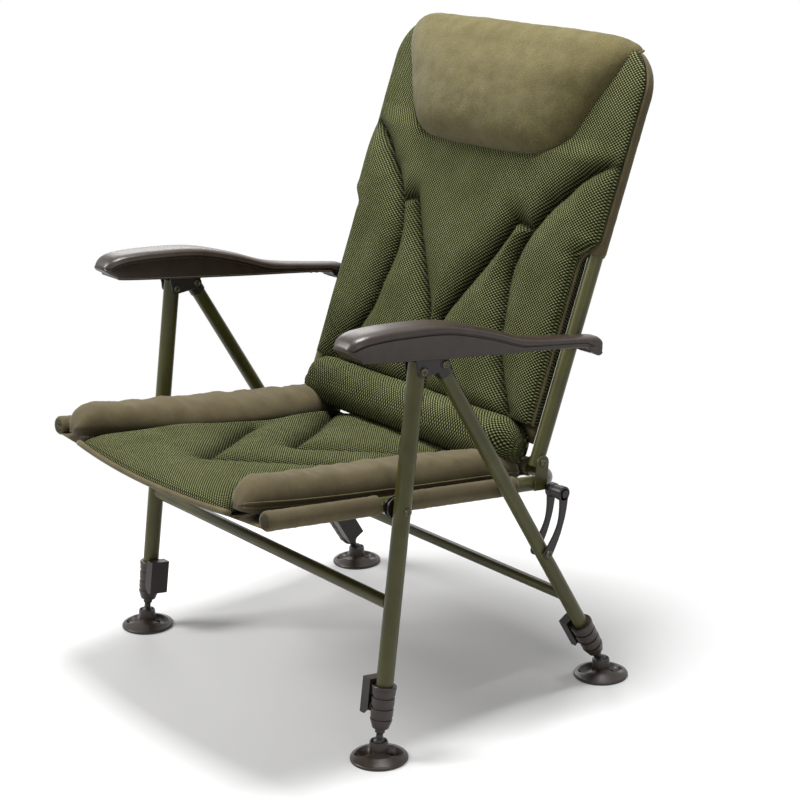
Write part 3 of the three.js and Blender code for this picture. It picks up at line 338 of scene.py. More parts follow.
def spacer_mesh_finish():
    """Knitted spacer mesh: rows of small dark holes in a paler green yarn."""
    finish = Finish("spacer_mesh", 0.9, specular=0.06)
    hole_pitch = 5.7 * MM
    row_pitch = 2.5 * MM
    painted_channel_shade = srgb(13, 15, 6)
    white = srgb(255, 255, 255)
    cloth = finish.add("ShaderNodeUVMap", uv_map="cloth")
    parts = finish.add("ShaderNodeSeparateXYZ")
    finish.link(cloth.outputs[0], parts.inputs[0])
    across = finish.math("MULTIPLY", parts.outputs[0], 2 * math.pi / hole_pitch)
    along = finish.math("MULTIPLY", parts.outputs[1], math.pi / row_pitch)
    along = finish.math("ADD", along, finish.math("MULTIPLY", finish.noise(16 * MM), 0.5))
    lattice = [finish.math("COSINE", finish.math(sign, across, along), 0.0) for sign in ("ADD", "SUBTRACT")]
    holes = finish.math("MULTIPLY_ADD", finish.math("ADD", *lattice), 0.25)
    holes.node.inputs[2].default_value = 0.5
    shades = finish.ramp(
        holes, (0.0, srgb(136, 138, 100)), (0.3, srgb(98, 102, 67)), (0.52, srgb(46, 49, 27)),
        (0.7, srgb(13, 15, 7)),
    )
    drift = finish.ramp(finish.noise(60 * MM, 2), (0.3, srgb(228, 228, 216)), (0.7, white))
    tinted = finish.mix(1, shades, drift, "MULTIPLY")
    # Painted shade: the knit turns near black beside the seams, where the sewn channels lie in shade.
    finish.colour(finish.mix(finish.painted_shade_share(0.85), tinted, painted_channel_shade))
    yarn = finish.math("SUBTRACT", 1.0, holes)
    finish.bump((finish.noise(0.8 * MM, 2), 0.25, 0.3 * MM), (yarn, 0.9, 1.1 * MM))
    return finish.material


def fleece_finish():
    finish = Finish("fleece", 0.95, sheen=0.12, specular=0.05)
    tufts = finish.noise(2.2 * MM, 4, 0.7)
    nap = finish.noise(28 * MM, 3)
    shades = finish.ramp(
        tufts, (0.3, srgb(68, 62, 38)), (0.55, srgb(94, 87, 56)), (0.75, srgb(116, 109, 76)),
    )
    brushed = finish.ramp(nap, (0.35, srgb(82, 76, 49)), (0.65, srgb(104, 97, 66)))
    finish.colour(finish.mix(0.45, shades, brushed))
    finish.bump((nap, 0.3, 3 * MM), (tufts, 0.8, 1.4 * MM), (finish.noise(0.7 * MM, 2), 0.5, 0.5 * MM))
    return finish.material


def cloth_finish(name, low, high, weave=1.1 * MM):
    """Peach-skin cloth: a very fine plain weave, faint mottling and a soft nap."""
    finish = Finish(name, 0.82, sheen=0.1, specular=0.12)
    painted_fold_shade = srgb(24, 20, 12)
    mottle = finish.noise(35 * MM, 4)
    fine = finish.noise(2.5 * MM, 3, 0.65)
    broad, close = (finish.ramp(value, (0.3, low), (0.7, high)) for value in (mottle, fine))
    # Painted shade: the cloth darkens on the lower side of the bolsters, where shade falls under the roll.
    finish.colour(finish.mix(finish.painted_shade_share(0.8), finish.mix(0.35, broad, close), painted_fold_shade))
    threads = finish.add("ShaderNodeTexWave", wave_type="BANDS", bands_direction="X")
    threads.inputs["Scale"].default_value = 1 / weave / 6
    threads.inputs["Distortion"].default_value = 1.5
    finish.link(finish.places(), threads.inputs["Vector"])
    finish.rough(mottle, 0.74, 0.9)
    finish.bump(
        (finish.noise(14 * MM, 3), 0.22, 2 * MM), (fine, 0.3, 0.4 * MM),
        (threads.outputs["Fac"], 0.1, 0.2 * MM),
    )
    return finish.material


def paint_finish():
    """Olive paint with a few rubbed specks."""
    finish = Finish("olive_paint", 0.26, specular=0.32)
    rubbed = srgb(120, 118, 84)
    base = finish.ramp(finish.noise(70 * MM, 3), (0.3, srgb(56, 55, 24)), (0.7, srgb(72, 71, 33)))
    specks = finish.noise(1.4 * MM, 2, 0.6)
    specks = finish.ramp(specks, (0.66, srgb(0, 0, 0)), (0.8, srgb(255, 255, 255)))
    finish.colour(finish.mix(finish.math("MULTIPLY", specks, 0.25), base, rubbed))
    finish.rough(finish.noise(12 * MM, 4), 0.24, 0.38)
    finish.bump((finish.noise(1.6 * MM, 2), 0.05, 0.2 * MM))
    return finish.material


def plastic_finish(name, low, high, rough_low, rough_high):
    """Moulded plastic with a fine spark-eroded grain and faint flow marks."""
    finish = Finish(name, rough_low, specular=0.45)
    flow = finish.noise(22 * MM, 4)
    finish.colour(finish.ramp(flow, (0.3, low), (0.72, high)))
    finish.rough(finish.noise(6 * MM, 4), rough_low, rough_high)
    finish.bump((finish.noise(0.9 * MM, 3, 0.65), 0.18, 0.25 * MM), (flow, 0.06, 0.6 * MM))
    return finish.material


def rivet_finish():
    finish = Finish("rivet_steel", 0.35, metallic=0.75)
    stain = finish.noise(3 * MM, 3)
    finish.colour(finish.ramp(stain, (0.35, srgb(62, 58, 42)), (0.7, srgb(104, 98, 78))))
    finish.rough(stain, 0.28, 0.5)
    finish.bump((finish.noise(0.6 * MM, 2), 0.1, 0.1 * MM))
    return finish.material


FINISHES = {
    "olive_paint": paint_finish(),
    "dark_plastic": plastic_finish("dark_plastic", srgb(36, 26, 20), srgb(48, 37, 29), 0.3, 0.42),
    "black_plastic": plastic_finish("black_plastic", srgb(18, 13, 11), srgb(29, 23, 19), 0.32, 0.46),
    "rivet_steel": rivet_finish(),
    "spacer_mesh": spacer_mesh_finish(),
    "fleece": fleece_finish(),
    "brown_cloth": cloth_finish("brown_cloth", srgb(72, 64, 45), srgb(90, 81, 58)),
}
PIPING = cloth_finish("piping", srgb(72, 64, 44), srgb(94, 85, 60), weave=0.8 * MM)

# Meshes


def add_piece(
    name, points, faces, matrix, body, slot, uv=None, finish=None, smooth=True, replaces=(), painted_shade=None,
):
    """A mesh piece whose points are given in a local frame."""
    mesh = bpy.data.meshes.new(name)
    mesh.from_pydata([matrix @ Vector(point) for point in points], [], faces)
    mesh.validate()
    piece = in_scene(name, mesh)
    if uv is not None:
        layer = mesh.uv_layers.new(name="cloth")
        corners = np.empty(len(mesh.loops), np.int32)
        mesh.loops.foreach_get("vertex_index", corners)
        layer.data.foreach_set("uv", np.asarray(uv, np.float32)[corners].ravel())
    # A share of painted shade at each point, for the seams' channels and the undersides of rolls.
    if painted_shade is not None:
        layer = mesh.attributes.new("painted_shade", "FLOAT", "POINT")
        layer.data.foreach_set("value", np.asarray(painted_shade, np.float32))
    mesh.materials.append(finish or FINISHES[slot])
    if smooth:
        mesh.polygons.foreach_set("use_smooth", [True] * len(mesh.polygons))
    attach(piece, body)
    if replaces:
        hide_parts(*replaces)
    return piece


def body_of(node):
    """The body that a CAD node belongs to."""
    for body, nodes in frame["record"]["behaviour"]["bodies"].items():
        if node in nodes:
            return body
    return None


def hard_piece(name, mesh, matrix, node, slot, sharp=38, replaces=True):
    """A smooth-shaded piece on a CAD node's body, with edges past an angle kept crisp."""
    points, faces = mesh
    piece = add_piece(name, points, faces, matrix, body_of(node), slot, replaces=[node] if replaces else ())
    piece.data.set_sharp_from_angle(angle=math.radians(sharp))


def round_angles(sides):
    return [2 * math.pi * k / sides for k in range(sides)]


def ring_faces(gaps, sides, inward=False):
    """Faces between rings of points that follow one another."""
    faces = []
    for row in range(gaps):
        for k in range(sides):
            a = row * sides + k
            b = row * sides + (k + 1) % sides
            faces.append((a, a + sides, b + sides, b) if inward else (a, b, b + sides, a + sides))
    return faces


def capped_rings(rings, sides, inward=False):
    """Faces of a run of rings with a flat cap on each end."""
    first = tuple(range(sides))
    last = tuple(range((rings - 1) * sides, rings * sides))
    caps = [first, last[::-1]] if inward else [first[::-1], last]
    return ring_faces(rings - 1, sides, inward) + caps


def tube_mesh(path, radius, sides=28):
    """A round tube along points, with a radius that may change from point to point."""
    path = [Vector(point) for point in path]
    radii = radius if hasattr(radius, "__len__") else [radius] * len(path)
    points = []
    normal = None
    for i, point in enumerate(path):
        ahead = (path[min(i + 1, len(path) - 1)] - path[max(i - 1, 0)]).normalized()
        if normal is None:
            helper = Vector((0, 0, 1)) if abs(ahead.z) < 0.9 else Vector((1, 0, 0))
            normal = ahead.cross(helper).normalized()
        normal = (normal - ahead * normal.dot(ahead)).normalized()
        across = ahead.cross(normal)
        for angle in round_angles(sides):
            points.append(point + radii[i] * (normal * math.cos(angle) + across * math.sin(angle)))
    return points, capped_rings(len(path), sides)


def rounded_path(corners, radius):
    """Points of a path whose corners are rounded off."""
    steps = 14
    corners = [Vector(corner) for corner in corners]
    points = [corners[0]]
    for before, corner, after in zip(corners, corners[1:], corners[2:]):
        back = (before - corner).normalized()
        ahead = (after - corner).normalized()
        setback = radius / math.tan(back.angle(ahead) / 2)
        centre = corner + (back + ahead).normalized() * math.hypot(radius, setback)
        start = (corner + back * setback - centre).normalized()
        end = (corner + ahead * setback - centre).normalized()
        for step in range(steps + 1):
            share = step / steps
            points.append(centre + radius * start.lerp(end, share).normalized())
    points.append(corners[-1])
    return points


def straight(a, b, steps=1):
    return [Vector(a).lerp(Vector(b), step / steps) for step in range(steps + 1)]


def hoop(foot, top):
    """Corners of a path up one back tube, across the top and down the other."""
    return [(-RAIL_PLANE, 0, foot), (-RAIL_PLANE, 0, top), (RAIL_PLANE, 0, top), (RAIL_PLANE, 0, foot)]


def lathe_mesh(profile, sides=40):
    """A turned piece about z from (radius, height) pairs."""
    points = []
    for radius, height in profile:
        for angle in round_angles(sides):
            points.append(Vector((radius * math.cos(angle), radius * math.sin(angle), height)))
    return points, capped_rings(len(profile), sides)


def grid_faces(rows, columns, offset=0, flip=False):
    wide = columns + 1
    faces = []
    for row in range(rows):
        for column in range(columns):
            a = offset + row * wide + column
            face = (a, a + 1, a + wide + 1, a + wide)
            faces.append(face[::-1] if flip else face)
    return faces


def close_grids(rows, columns):
    """Front and back grids of the same size, joined round their rim."""
    wide = columns + 1
    count = wide * (rows + 1)
    faces = grid_faces(rows, columns) + grid_faces(rows, columns, count, flip=True)
    rim = list(range(columns))
    rim += [row * wide + columns for row in range(rows)]
    rim += [rows * wide + column for column in range(columns, 0, -1)]
    rim += [row * wide for row in range(rows, 0, -1)]
    for a, b in zip(rim, rim[1:] + rim[:1]):
        faces.append((b, a, a + count, b + count))
    return faces


# Sewn channels


def smooth_line(points, steps=16):
    """A soft curve through points, as a fine row of places."""
    points = [np.array(point, float) for point in points]
    padded = [2 * points[0] - points[1], *points, 2 * points[-1] - points[-2]]
    line = []
    for p0, p1, p2, p3 in zip(padded, padded[1:], padded[2:], padded[3:]):
        for step in range(steps):
            t = step / steps
            line.append(
                0.5 * (2 * p1 + (p2 - p0) * t + (2 * p0 - 5 * p1 + 4 * p2 - p3) * t**2
                       + (3 * p1 - p0 - 3 * p2 + p3) * t**3)
            )
    line.append(points[-1])
    return np.array(line)


def seam_distance(places, seams):
    """Distance from places to the nearest seam, and how far along it that is."""
    nearest = np.full(len(places), 1e9)
    along = np.zeros(len(places))
    for seam in seams:
        run = np.concatenate([[0], np.cumsum(np.linalg.norm(np.diff(seam, axis=0), axis=1))])
        for (a, b), start in zip(zip(seam, seam[1:]), run):
            d = b - a
            length = float(d @ d)
            if length == 0:
                continue
            t = np.clip((places - a) @ d / length, 0, 1)
            gap = np.linalg.norm(places - (a + t[:, None] * d), axis=1)
            closer = gap < nearest
            nearest = np.where(closer, gap, nearest)
            along = np.where(closer, start + t * math.sqrt(length), along)
    return nearest, along


def dome(share):
    """Height of a quarter round, from 0 at its edge to 1 at its crown."""
    share = np.clip(share, 0, 1)
    return np.sqrt(np.maximum(1 - (1 - share) ** 2, 0))


def lumps(places, size, seed):
    return np.array([noise.noise(Vector((x / size, y / size, seed))) for x, y in places])


def soft_step(value, start, length):
    """A soft step from 0 to 1 that begins at a value and takes a length."""
    share = np.clip((value - start) / length, 0, 1)
    return share * share * (3 - 2 * share)


def sewn(height, floor, gap, along, places, reach, seed):
    """Draws a padded surface down to its seams, with small gathers beside them."""
    gather_pitch = 5.5 * MM
    gather_height = 0.6 * MM
    height = floor + (height - floor) * dome(gap / reach)
    drift = 2.5 * lumps(places, 30 * MM, seed)
    pucker = np.sin(along / gather_pitch + drift) * np.exp(-gap / (12 * MM))
    return height + gather_height * pucker * np.clip(gap / (4 * MM), 0, 1)


def seam_lines(line):
    """A seam, written in millimetres, and its mirror image."""
    line = smooth_line(metres(line))
    return [np.array(line, float), np.array([(-x, y) for x, y in line], float)]


def quilt_uv(places, foot, top, grow):
    """Places of the knit, grown a little on the rear so that it doesn't stretch at the rim."""
    middle = np.array([0, 0.5 * (foot + top)])
    return np.concatenate([places, middle + (places - middle) * grow])


# Back quilt

BACK_SIDE_SEAM = [
    (289, 449), (266, 440), (232, 417), (205, 387), (183, 366), (151, 313), (138, 256), (149, 190),
    (163, 135), (212, 56),
]
BACK_VEE_SEAM = [(121, 336), (96, 290), (60, 235), (24, 178), (14, 150), (12, 100), (14, 52)]
BACK_DART = [(152, 330), (136, 335), (121, 336)]
PILLOW_OUTLINE = [
    (0, 430), (60, 430), (104, 432), (132, 436), (154, 444), (170, 455), (192, 484), (204, 508), (215, 533),
    (228, 556), (240, 576), (251, 604), (256, 622), (252, 630), (238, 634), (210, 636), (120, 637), (0, 637),
]
POCKET_START = 313 * MM


def beside_back_tube(x, r):
    """Distance in the back's plane from the middle of its bent tube."""
    side = abs(abs(x) - RAIL_PLANE)
    crossing = abs(r - BACK_TOP)
    bend_x = RAIL_PLANE - BACK_BEND
    bend_r = BACK_TOP - BACK_BEND
    corner = abs(np.hypot(abs(x) - bend_x, r - bend_r) - BACK_BEND)
    return np.where(r < bend_r, side, np.where(abs(x) < bend_x, crossing, corner))


def back_quilt():
    """The back's cushion, sewn down along its seams, less full behind the pillow."""
    foot = 48 * MM
    top = 627 * MM
    corner = 72 * MM
    narrow_half = 263 * MM
    pocket_flare = 26 * MM
    crown = 37 * MM
    crown_behind_pillow = 15 * MM
    crown_loss_at_top = 12 * MM
    floor = 8 * MM
    panel_front = 2.7 * MM
    over_pocket = 14.2 * MM
    least = 3.2 * MM
    binding_inset = 7 * MM
    rows = 184
    columns = 164
    seams = [seam for line in (BACK_SIDE_SEAM, BACK_VEE_SEAM, BACK_DART) for seam in seam_lines(line)]
    r = np.linspace(foot, top, rows + 1)
    half = narrow_half + pocket_flare * soft_step(r, 302 * MM, 34 * MM)
    past = np.clip(r - (top - corner), 0, corner)
    width = half - corner + np.sqrt(corner**2 - past**2)
    x = np.linspace(-1, 1, columns + 1)[None, :] * width[:, None]
    places = np.stack([x.ravel(), np.repeat(r, columns + 1)], axis=1)
    beside, up = abs(places[:, 0]), places[:, 1]
    inset = np.minimum(width[:, None] - abs(x), np.minimum(r - foot, top - r)[:, None]).ravel()
    gap, along = seam_distance(places, seams)

    pillow_side = np.array(PILLOW_OUTLINE)[4:13] * MM
    pillow_half = np.interp(up, pillow_side[:, 1], pillow_side[:, 0])
    behind = soft_step(up, 425 * MM, 40 * MM)
    behind = behind * soft_step(pillow_half + 4 * MM - beside, 0, 34 * MM)
    full = crown - (crown - crown_behind_pillow) * behind
    full = full * (0.88 + 0.12 * np.cos(places[:, 0] / RAIL_PLANE * 1.2))
    full = full - crown_loss_at_top * soft_step(up, 440 * MM, 40 * MM) * (1 - behind)
    low = 1 - soft_step(up, 290 * MM, 60 * MM)
    rim = (9 + 10 * low) * MM
    height = rim + (full - rim) * dome(inset / ((62 - 35 * low) * MM))
    height = sewn(height, floor, gap, along, places, 46 * MM, 3)
    height = height + 1.8 * MM * lumps(places, 70 * MM, 7) * dome(inset / (30 * MM))

    under = np.sqrt(np.maximum(over_pocket**2 - beside_back_tube(places[:, 0], up) ** 2, 0))
    under = np.where(up > 300 * MM, np.maximum(under, panel_front), panel_front)
    height = np.maximum(height + panel_front, under + least)
    front = [(px, -h, pr) for (px, pr), h in zip(places, height)]
    rear = [(px, -u, pr) for (px, pr), u in zip(places, under)]
    # Painted shade along the seams, strongest in the sewn channels, for the knit's colour.
    dark = np.exp(-gap / (7 * MM))
    piece = add_piece(
        "back_quilt", front + rear, close_grids(rows, columns), BACK, "back", "spacer_mesh",
        uv=quilt_uv(places, foot, top, 1.07), replaces=["back_cushion"],
        painted_shade=np.concatenate([dark, dark]),
    )

    wide = columns + 1
    rim_line = [front[row * wide] for row in range(0, rows + 1, 2)]
    rim_line += [front[rows * wide + column] for column in range(1, columns)]
    rim_line += [front[row * wide + columns] for row in range(rows, -1, -2)]
    rim_line = [(px, py + binding_inset, pr) for px, py, pr in rim_line]
    points, faces = tube_mesh(rim_line, 2.6 * MM, 10)
    add_piece("back_binding", points, faces, BACK, "back", "brown_cloth", finish=PIPING)


# Seat quilt

SEAT_FRONT_CHEVRON = [
    (-128, 258), (-104, 222), (-68, 176), (-32, 128), (0, 92), (32, 128), (68, 176), (104, 222),
    (128, 258),
]
SEAT_REAR_CHEVRON = [
    (-168, 446), (-130, 402), (-78, 342), (-36, 286), (0, 247), (36, 286), (78, 342), (130, 402),
    (168, 446),
]
SEAT_SIDE_SEAM = [
    (196, -7), (195, 60), (188, 145), (172, 215), (161, 285), (167, 350), (184, 425), (192, 468),
]
SEAT_BED = -7.5 * MM


def seat_sag(x, u):
    """How far the stretched base dips between the rails."""
    across = 1 - (x / RAIL_PLANE) ** 2
    return -11 * MM * across * (0.3 + 0.7 * np.exp(-u / (80 * MM)))


def seat_quilt():
    """The seat's cushion between the bolsters, sewn down along two chevrons."""
    half = 197 * MM
    foot = -7 * MM
    top = 468 * MM
    crown = 31 * MM
    rim = 9 * MM
    floor = 4 * MM
    least = 3 * MM
    front_bow = 10 * MM
    puff_reach = 58 * MM
    above_base = 0.6 * MM
    binding = 4.6 * MM
    knit_scale = 1.2
    rows = 150
    columns = 124
    seams = [smooth_line(metres(line)) for line in (SEAT_FRONT_CHEVRON, SEAT_REAR_CHEVRON)]
    side_seam = smooth_line(metres(SEAT_SIDE_SEAM))
    seams += [side_seam, side_seam * np.array([-1, 1])]
    x, u = np.meshgrid(np.linspace(-half, half, columns + 1), np.linspace(foot, top, rows + 1))
    places = np.stack([x.ravel(), u.ravel()], axis=1)
    beside, along_seat = abs(places[:, 0]), places[:, 1]
    inset = np.minimum(half - beside, np.minimum(along_seat - foot, top - along_seat))
    gap, along = seam_distance(places, seams)
    height = rim + (crown - rim) * dome(inset / puff_reach)
    height = sewn(height, floor, gap, along, places, puff_reach, 11)
    height = np.where(beside > np.interp(along_seat, side_seam[:, 1], side_seam[:, 0]), floor, height)
    height = height + 2.4 * MM * lumps(places, 65 * MM, 17) * dome(inset / (30 * MM))
    height = np.maximum(height, least)
    bow = front_bow * (1 - (places[:, 0] / half) ** 2) * np.clip(1 - along_seat / (60 * MM), 0, 1)
    bed = SEAT_BED + np.array([seat_sag(px, max(pu, 0)) for px, pu in places]) + above_base
    y = along_seat - bow - RAIL_FRONT
    upper = list(zip(places[:, 0], y, bed + height))
    lower = list(zip(places[:, 0], y, bed))
    # Painted shade along the chevron and side seams, strongest in the sewn channels, for the knit's colour.
    dark = np.exp(-gap / (11 * MM))
    piece = add_piece(
        "seat_quilt", upper + lower, close_grids(rows, columns), SEAT, "seat", "spacer_mesh",
        uv=knit_scale * quilt_uv(places, foot, top, 1.05), replaces=["seat_cushion"],
        painted_shade=np.concatenate([dark, dark]),
    )
    edge = []
    for px in np.linspace(-half - 6 * MM, half + 6 * MM, 48):
        bowed = front_bow * (1 - (px / half) ** 2)
        edge.append((px, -RAIL_FRONT + foot - bowed, SEAT_BED + seat_sag(px, 0) + binding))
    points, faces = tube_mesh(edge, binding, 14)
    add_piece("seat_binding", points, faces, SEAT, "seat", "brown_cloth", finish=PIPING)


# Stuffed rolls


END_SWELL = 0.12
NOSE_RUN = 90 * MM


def fullness(share, length, nose, tail):
    """How full a roll is at a share of its length: less than 1 near its ends."""
    return float(min(dome(share * length / nose), dome((1 - share) * length / tail)))


def stuffed_roll(length, width, height, sections, nose, tail, wrinkles, seed, inner=0.0, lift=0.0):
    """A roll along x with a flat back at z = 0, drawn in at its ends, with cross folds.

    Its inner side, at -y, can bulge by a share of its width, and its nose can be lifted."""
    sides = 64
    flat_below = -0.55
    squareness = 0.8
    points = []
    uv = []
    dark = []
    for i in range(sections + 1):
        share = 0.5 - 0.5 * math.cos(math.pi * i / sections)
        x = (share - 0.5) * length
        swell = END_SWELL + (1 - END_SWELL) * fullness(share, length, nose, tail)
        bulge = 1 + inner * math.sin(math.pi * share**1.2) ** 1.3
        raised = lift * math.exp(-share * length / NOSE_RUN)
        gather = noise.noise(Vector((x / (13 * MM), 0, seed + 9)))
        for angle in round_angles(sides):
            c, s = math.cos(angle), math.sin(angle)
            y = 0.5 * width * swell * math.copysign(abs(c) ** squareness, c) * (bulge if c < 0 else 1)
            z = 0.5 * height * (max(s, flat_below) * swell + 0.55) / 1.55 * 2 * (0.35 + 0.65 * swell)
            if s <= flat_below:
                z = 0
            fold = noise.noise(Vector((x / (26 * MM), angle * 0.9, seed)))
            fine = noise.noise(Vector((x / (8 * MM), angle * 1.6, seed + 5)))
            gathered = gather * math.exp(-((angle - 0.25) / 0.5) ** 2)
            bump = wrinkles * (fold + 0.35 * fine + 0.8 * gathered) * max(s, 0) ** 0.5
            points.append((x, y, max(z + bump, 0) + raised * (1 - 0.4 * max(s, 0))))
            uv.append((x, angle * 0.5 * height))
            # Painted shade on the roll's lower side, where it turns under towards the seat.
            dark.append(0.55 * float(soft_step(0.12 - s, 0, 0.3)))
    return points, capped_rings(sections + 1, sides, inward=True), uv, dark


def bolsters():
    """The stuffed roll along each side of the seat, with two lines of piping."""
    length = 502 * MM
    start = RAIL_FRONT + 8 * MM
    centre_x = 222 * MM
    nose = 34 * MM
    tail = 44 * MM
    lift = 9 * MM
    piping_places = ((19 * MM, 31 * MM), (11 * MM, 30 * MM))
    for hand, side in SIDES:
        points, faces, uv, dark = stuffed_roll(
            length, 61 * MM, 49 * MM, 170, nose, tail, 3 * MM, 20 + side, inner=1.0, lift=lift,
        )
        turn = Matrix(((0, side, 0, 0), (1, 0, 0, 0), (0, 0, 1, 0), (0, 0, 0, 1)))
        centre = Vector((side * centre_x, length / 2 - start, SEAT_BED + 1.2 * MM))
        if turn.determinant() < 0:
            faces = [face[::-1] for face in faces]
        piece = add_piece(
            f"bolster_{hand}", points, faces, SEAT @ Matrix.Translation(centre) @ turn, "seat",
            "brown_cloth", uv=uv, replaces=[f"side_bolster_{hand}"], painted_shade=dark,
        )
        for row, (up, out) in enumerate(piping_places):
            seam = []
            for share in np.linspace(0.004, 0.996, 90):
                full = fullness(share, length, nose, tail)
                x = side * (centre_x + out * (END_SWELL + (1 - END_SWELL) * full))
                raised = lift * math.exp(-share * length / NOSE_RUN)
                seam.append((x, share * length - start, SEAT_BED + up * (0.5 + 0.5 * full) + raised))
            points, faces = tube_mesh(seam, 1.2 * MM, 8)
            name = f"bolster_piping_{hand}_{row}"
            add_piece(name, points, faces, SEAT, "seat", "brown_cloth", finish=PIPING)


def lumbar():
    """The roll at the foot of the back."""
    draw_in = 46 * MM
    points, faces, uv, _ = stuffed_roll(
        512 * MM, 78 * MM, 62 * MM, 130, draw_in, draw_in, 1.8 * MM, 31,
    )
    turn = Matrix.Rotation(math.pi / 2, 4, "X")
    matrix = BACK @ Matrix.Translation((0, -2.7 * MM, 11 * MM)) @ turn
    piece = add_piece(
        "lumbar_pad", points, faces, matrix, "hinge_pins", "spacer_mesh", uv=uv, replaces=["lumbar_roll"],
    )
    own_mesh(piece)


# Pillow


def pillow():
    """A fleece pillow over the top of the back, laid round the top tube."""
    around = 168
    rings = 44
    full = 58 * MM
    less_at_top = 20 * MM
    front_of_tube = 18 * MM
    top_edge = 592 * MM
    bend = 30 * MM
    heart = np.array([0, 538 * MM])
    right = np.array(PILLOW_OUTLINE) * MM
    outline = np.concatenate([right, right[::-1][1:-1] * np.array([-1, 1])])
    closed = np.concatenate([outline, outline[:1]])
    run = np.concatenate([[0], np.cumsum(np.linalg.norm(np.diff(closed, axis=0), axis=1))])
    stops = np.linspace(0, run[-1], around, endpoint=False)
    rim = np.stack([np.interp(stops, run, closed[:, i]) for i in (0, 1)], axis=1)
    places = [heart]
    shares = [0.0]
    for ring in range(1, rings + 1):
        share = math.sin(math.pi / 2 * ring / rings)
        places += [heart + (p - heart) * share for p in rim]
        shares += [share] * around
    places = np.array(places)
    shares = np.array(shares)
    thick = full - less_at_top * soft_step(places[:, 1], 545 * MM, 90 * MM)
    height = thick * np.maximum(1 - shares**3.4, 0) ** 0.55
    uneven = 2.4 * MM * lumps(places, 60 * MM, 41) + 0.9 * MM * lumps(places, 18 * MM, 44)
    height = height + uneven * (1 - shares**6)
    gathers = np.array([noise.noise(Vector((p[0] / (11 * MM), p[1] / (40 * MM), 9))) for p in places])
    height = height + 2 * MM * gathers * shares**4 * (1 - shares**8)

    def laid(place, depth):
        x, r = place
        angle = max(r - top_edge, 0) / bend
        along = min(r, top_edge) + bend * math.sin(angle)
        y = -front_of_tube + bend * (1 - math.cos(angle)) - depth * math.cos(angle)
        return (x, y, along + depth * math.sin(angle))

    count = len(places)
    front = [laid(p, h) for p, h in zip(places, height)]
    rear = [laid(p, -0.5 * MM * (1 - s)) for p, s in zip(places, shares)]
    faces = []
    for offset, step in ((0, 1), (count, -1)):
        for k in range(around):
            n = (k + 1) % around
            faces.append((offset, offset + 1 + k, offset + 1 + n)[::step])
            for ring in range(rings - 1):
                a = offset + 1 + ring * around
                faces.append((a + k, a + around + k, a + around + n, a + n)[::step])
    last = 1 + (rings - 1) * around
    for k in range(around):
        n = (k + 1) % around
        faces.append((last + k, count + last + k, count + last + n, last + n))
    uv = np.concatenate([places, places])
    piece = add_piece("pillow", front + rear, faces, BACK, "back", "fleece", uv=uv, replaces=["head_pillow"])
    seam = [laid(p, 1.5 * MM) for p in rim]
    points, faces = tube_mesh(seam + seam[:1], 2 * MM, 10)
    add_piece("pillow_seam", points, faces, BACK, "back", "fleece")


# Stretched cloth


CLOTH = 1.6 * MM


def seat_base():
    """The seat's stretched base: a sheet with sleeves round the rails and the rear tube."""
    rear_edge = 236 * MM
    under_rails = 9 * MM
    pivot_gap = 17 * MM
    columns = 60
    rows = 56
    upper = []
    uv = []
    for u in np.linspace(0, rear_edge + RAIL_FRONT, rows + 1):
        for x in np.linspace(-RAIL_PLANE, RAIL_PLANE, columns + 1):
            ripple = 1.2 * MM * noise.noise(Vector((x * 9, u * 9, 2)))
            upper.append((x, u - RAIL_FRONT, -under_rails + float(seat_sag(x, u)) + ripple))
            uv.append((x, u))
    lower = [(x, y, z - CLOTH) for x, y, z in upper]
    piece = add_piece(
        "seat_base", upper + lower, close_grids(rows, columns), SEAT, "seat", "brown_cloth", uv=uv + uv,
        replaces=["seat_fabric"],
    )
    half = RAIL_PLANE - RAIL_BEND - 10 * MM
    start = rear_edge - 4 * MM
    tail = [(-half, start), (half, start), (half, RAIL_REAR), (-half, RAIL_REAR)]
    points = []
    for z in (-under_rails, -under_rails - CLOTH):
        points += [(x, y, z - 0.4 * MM) for x, y in tail]
    faces = [(0, 1, 2, 3), (7, 6, 5, 4), (1, 0, 4, 5), (2, 1, 5, 6), (3, 2, 6, 7), (0, 3, 7, 4)]
    add_piece("seat_base_tail", points, faces, SEAT, "seat", "brown_cloth", smooth=False)
    for hand, side in SIDES:
        x = side * RAIL_PLANE
        for part, start, end in (("front", -RAIL_FRONT, -pivot_gap), ("rear", pivot_gap, rear_edge)):
            points, faces = sleeve_mesh((x, start, 0), (x, end, 0), 40 + side)
            add_piece(f"rail_sleeve_{part}_{hand}", points, faces, SEAT, "seat", "brown_cloth")
    points, faces = sleeve_mesh((-half, RAIL_REAR, 0), (half, RAIL_REAR, 0), 47)
    add_piece("rail_sleeve_back", points, faces, SEAT, "seat", "brown_cloth")


def sleeve_mesh(a, b, seed):
    """Cloth drawn round a tube, with faint cross creases and hemmed ends."""
    a, b = Vector(a), Vector(b)
    steps = max(int((b - a).length / (3 * MM)), 4)
    hem_steps = 4
    radii = []
    for i in range(steps + 1):
        hem = 0.5 * MM if min(i, steps - i) <= hem_steps else 0
        radii.append(SLEEVE_RADIUS + hem + 0.5 * MM * noise.noise(Vector((i * 0.35, seed, 0))))
    radii[0] = radii[-1] = SLEEVE_RADIUS - CLOTH
    return tube_mesh(straight(a, b, steps), radii, 26)


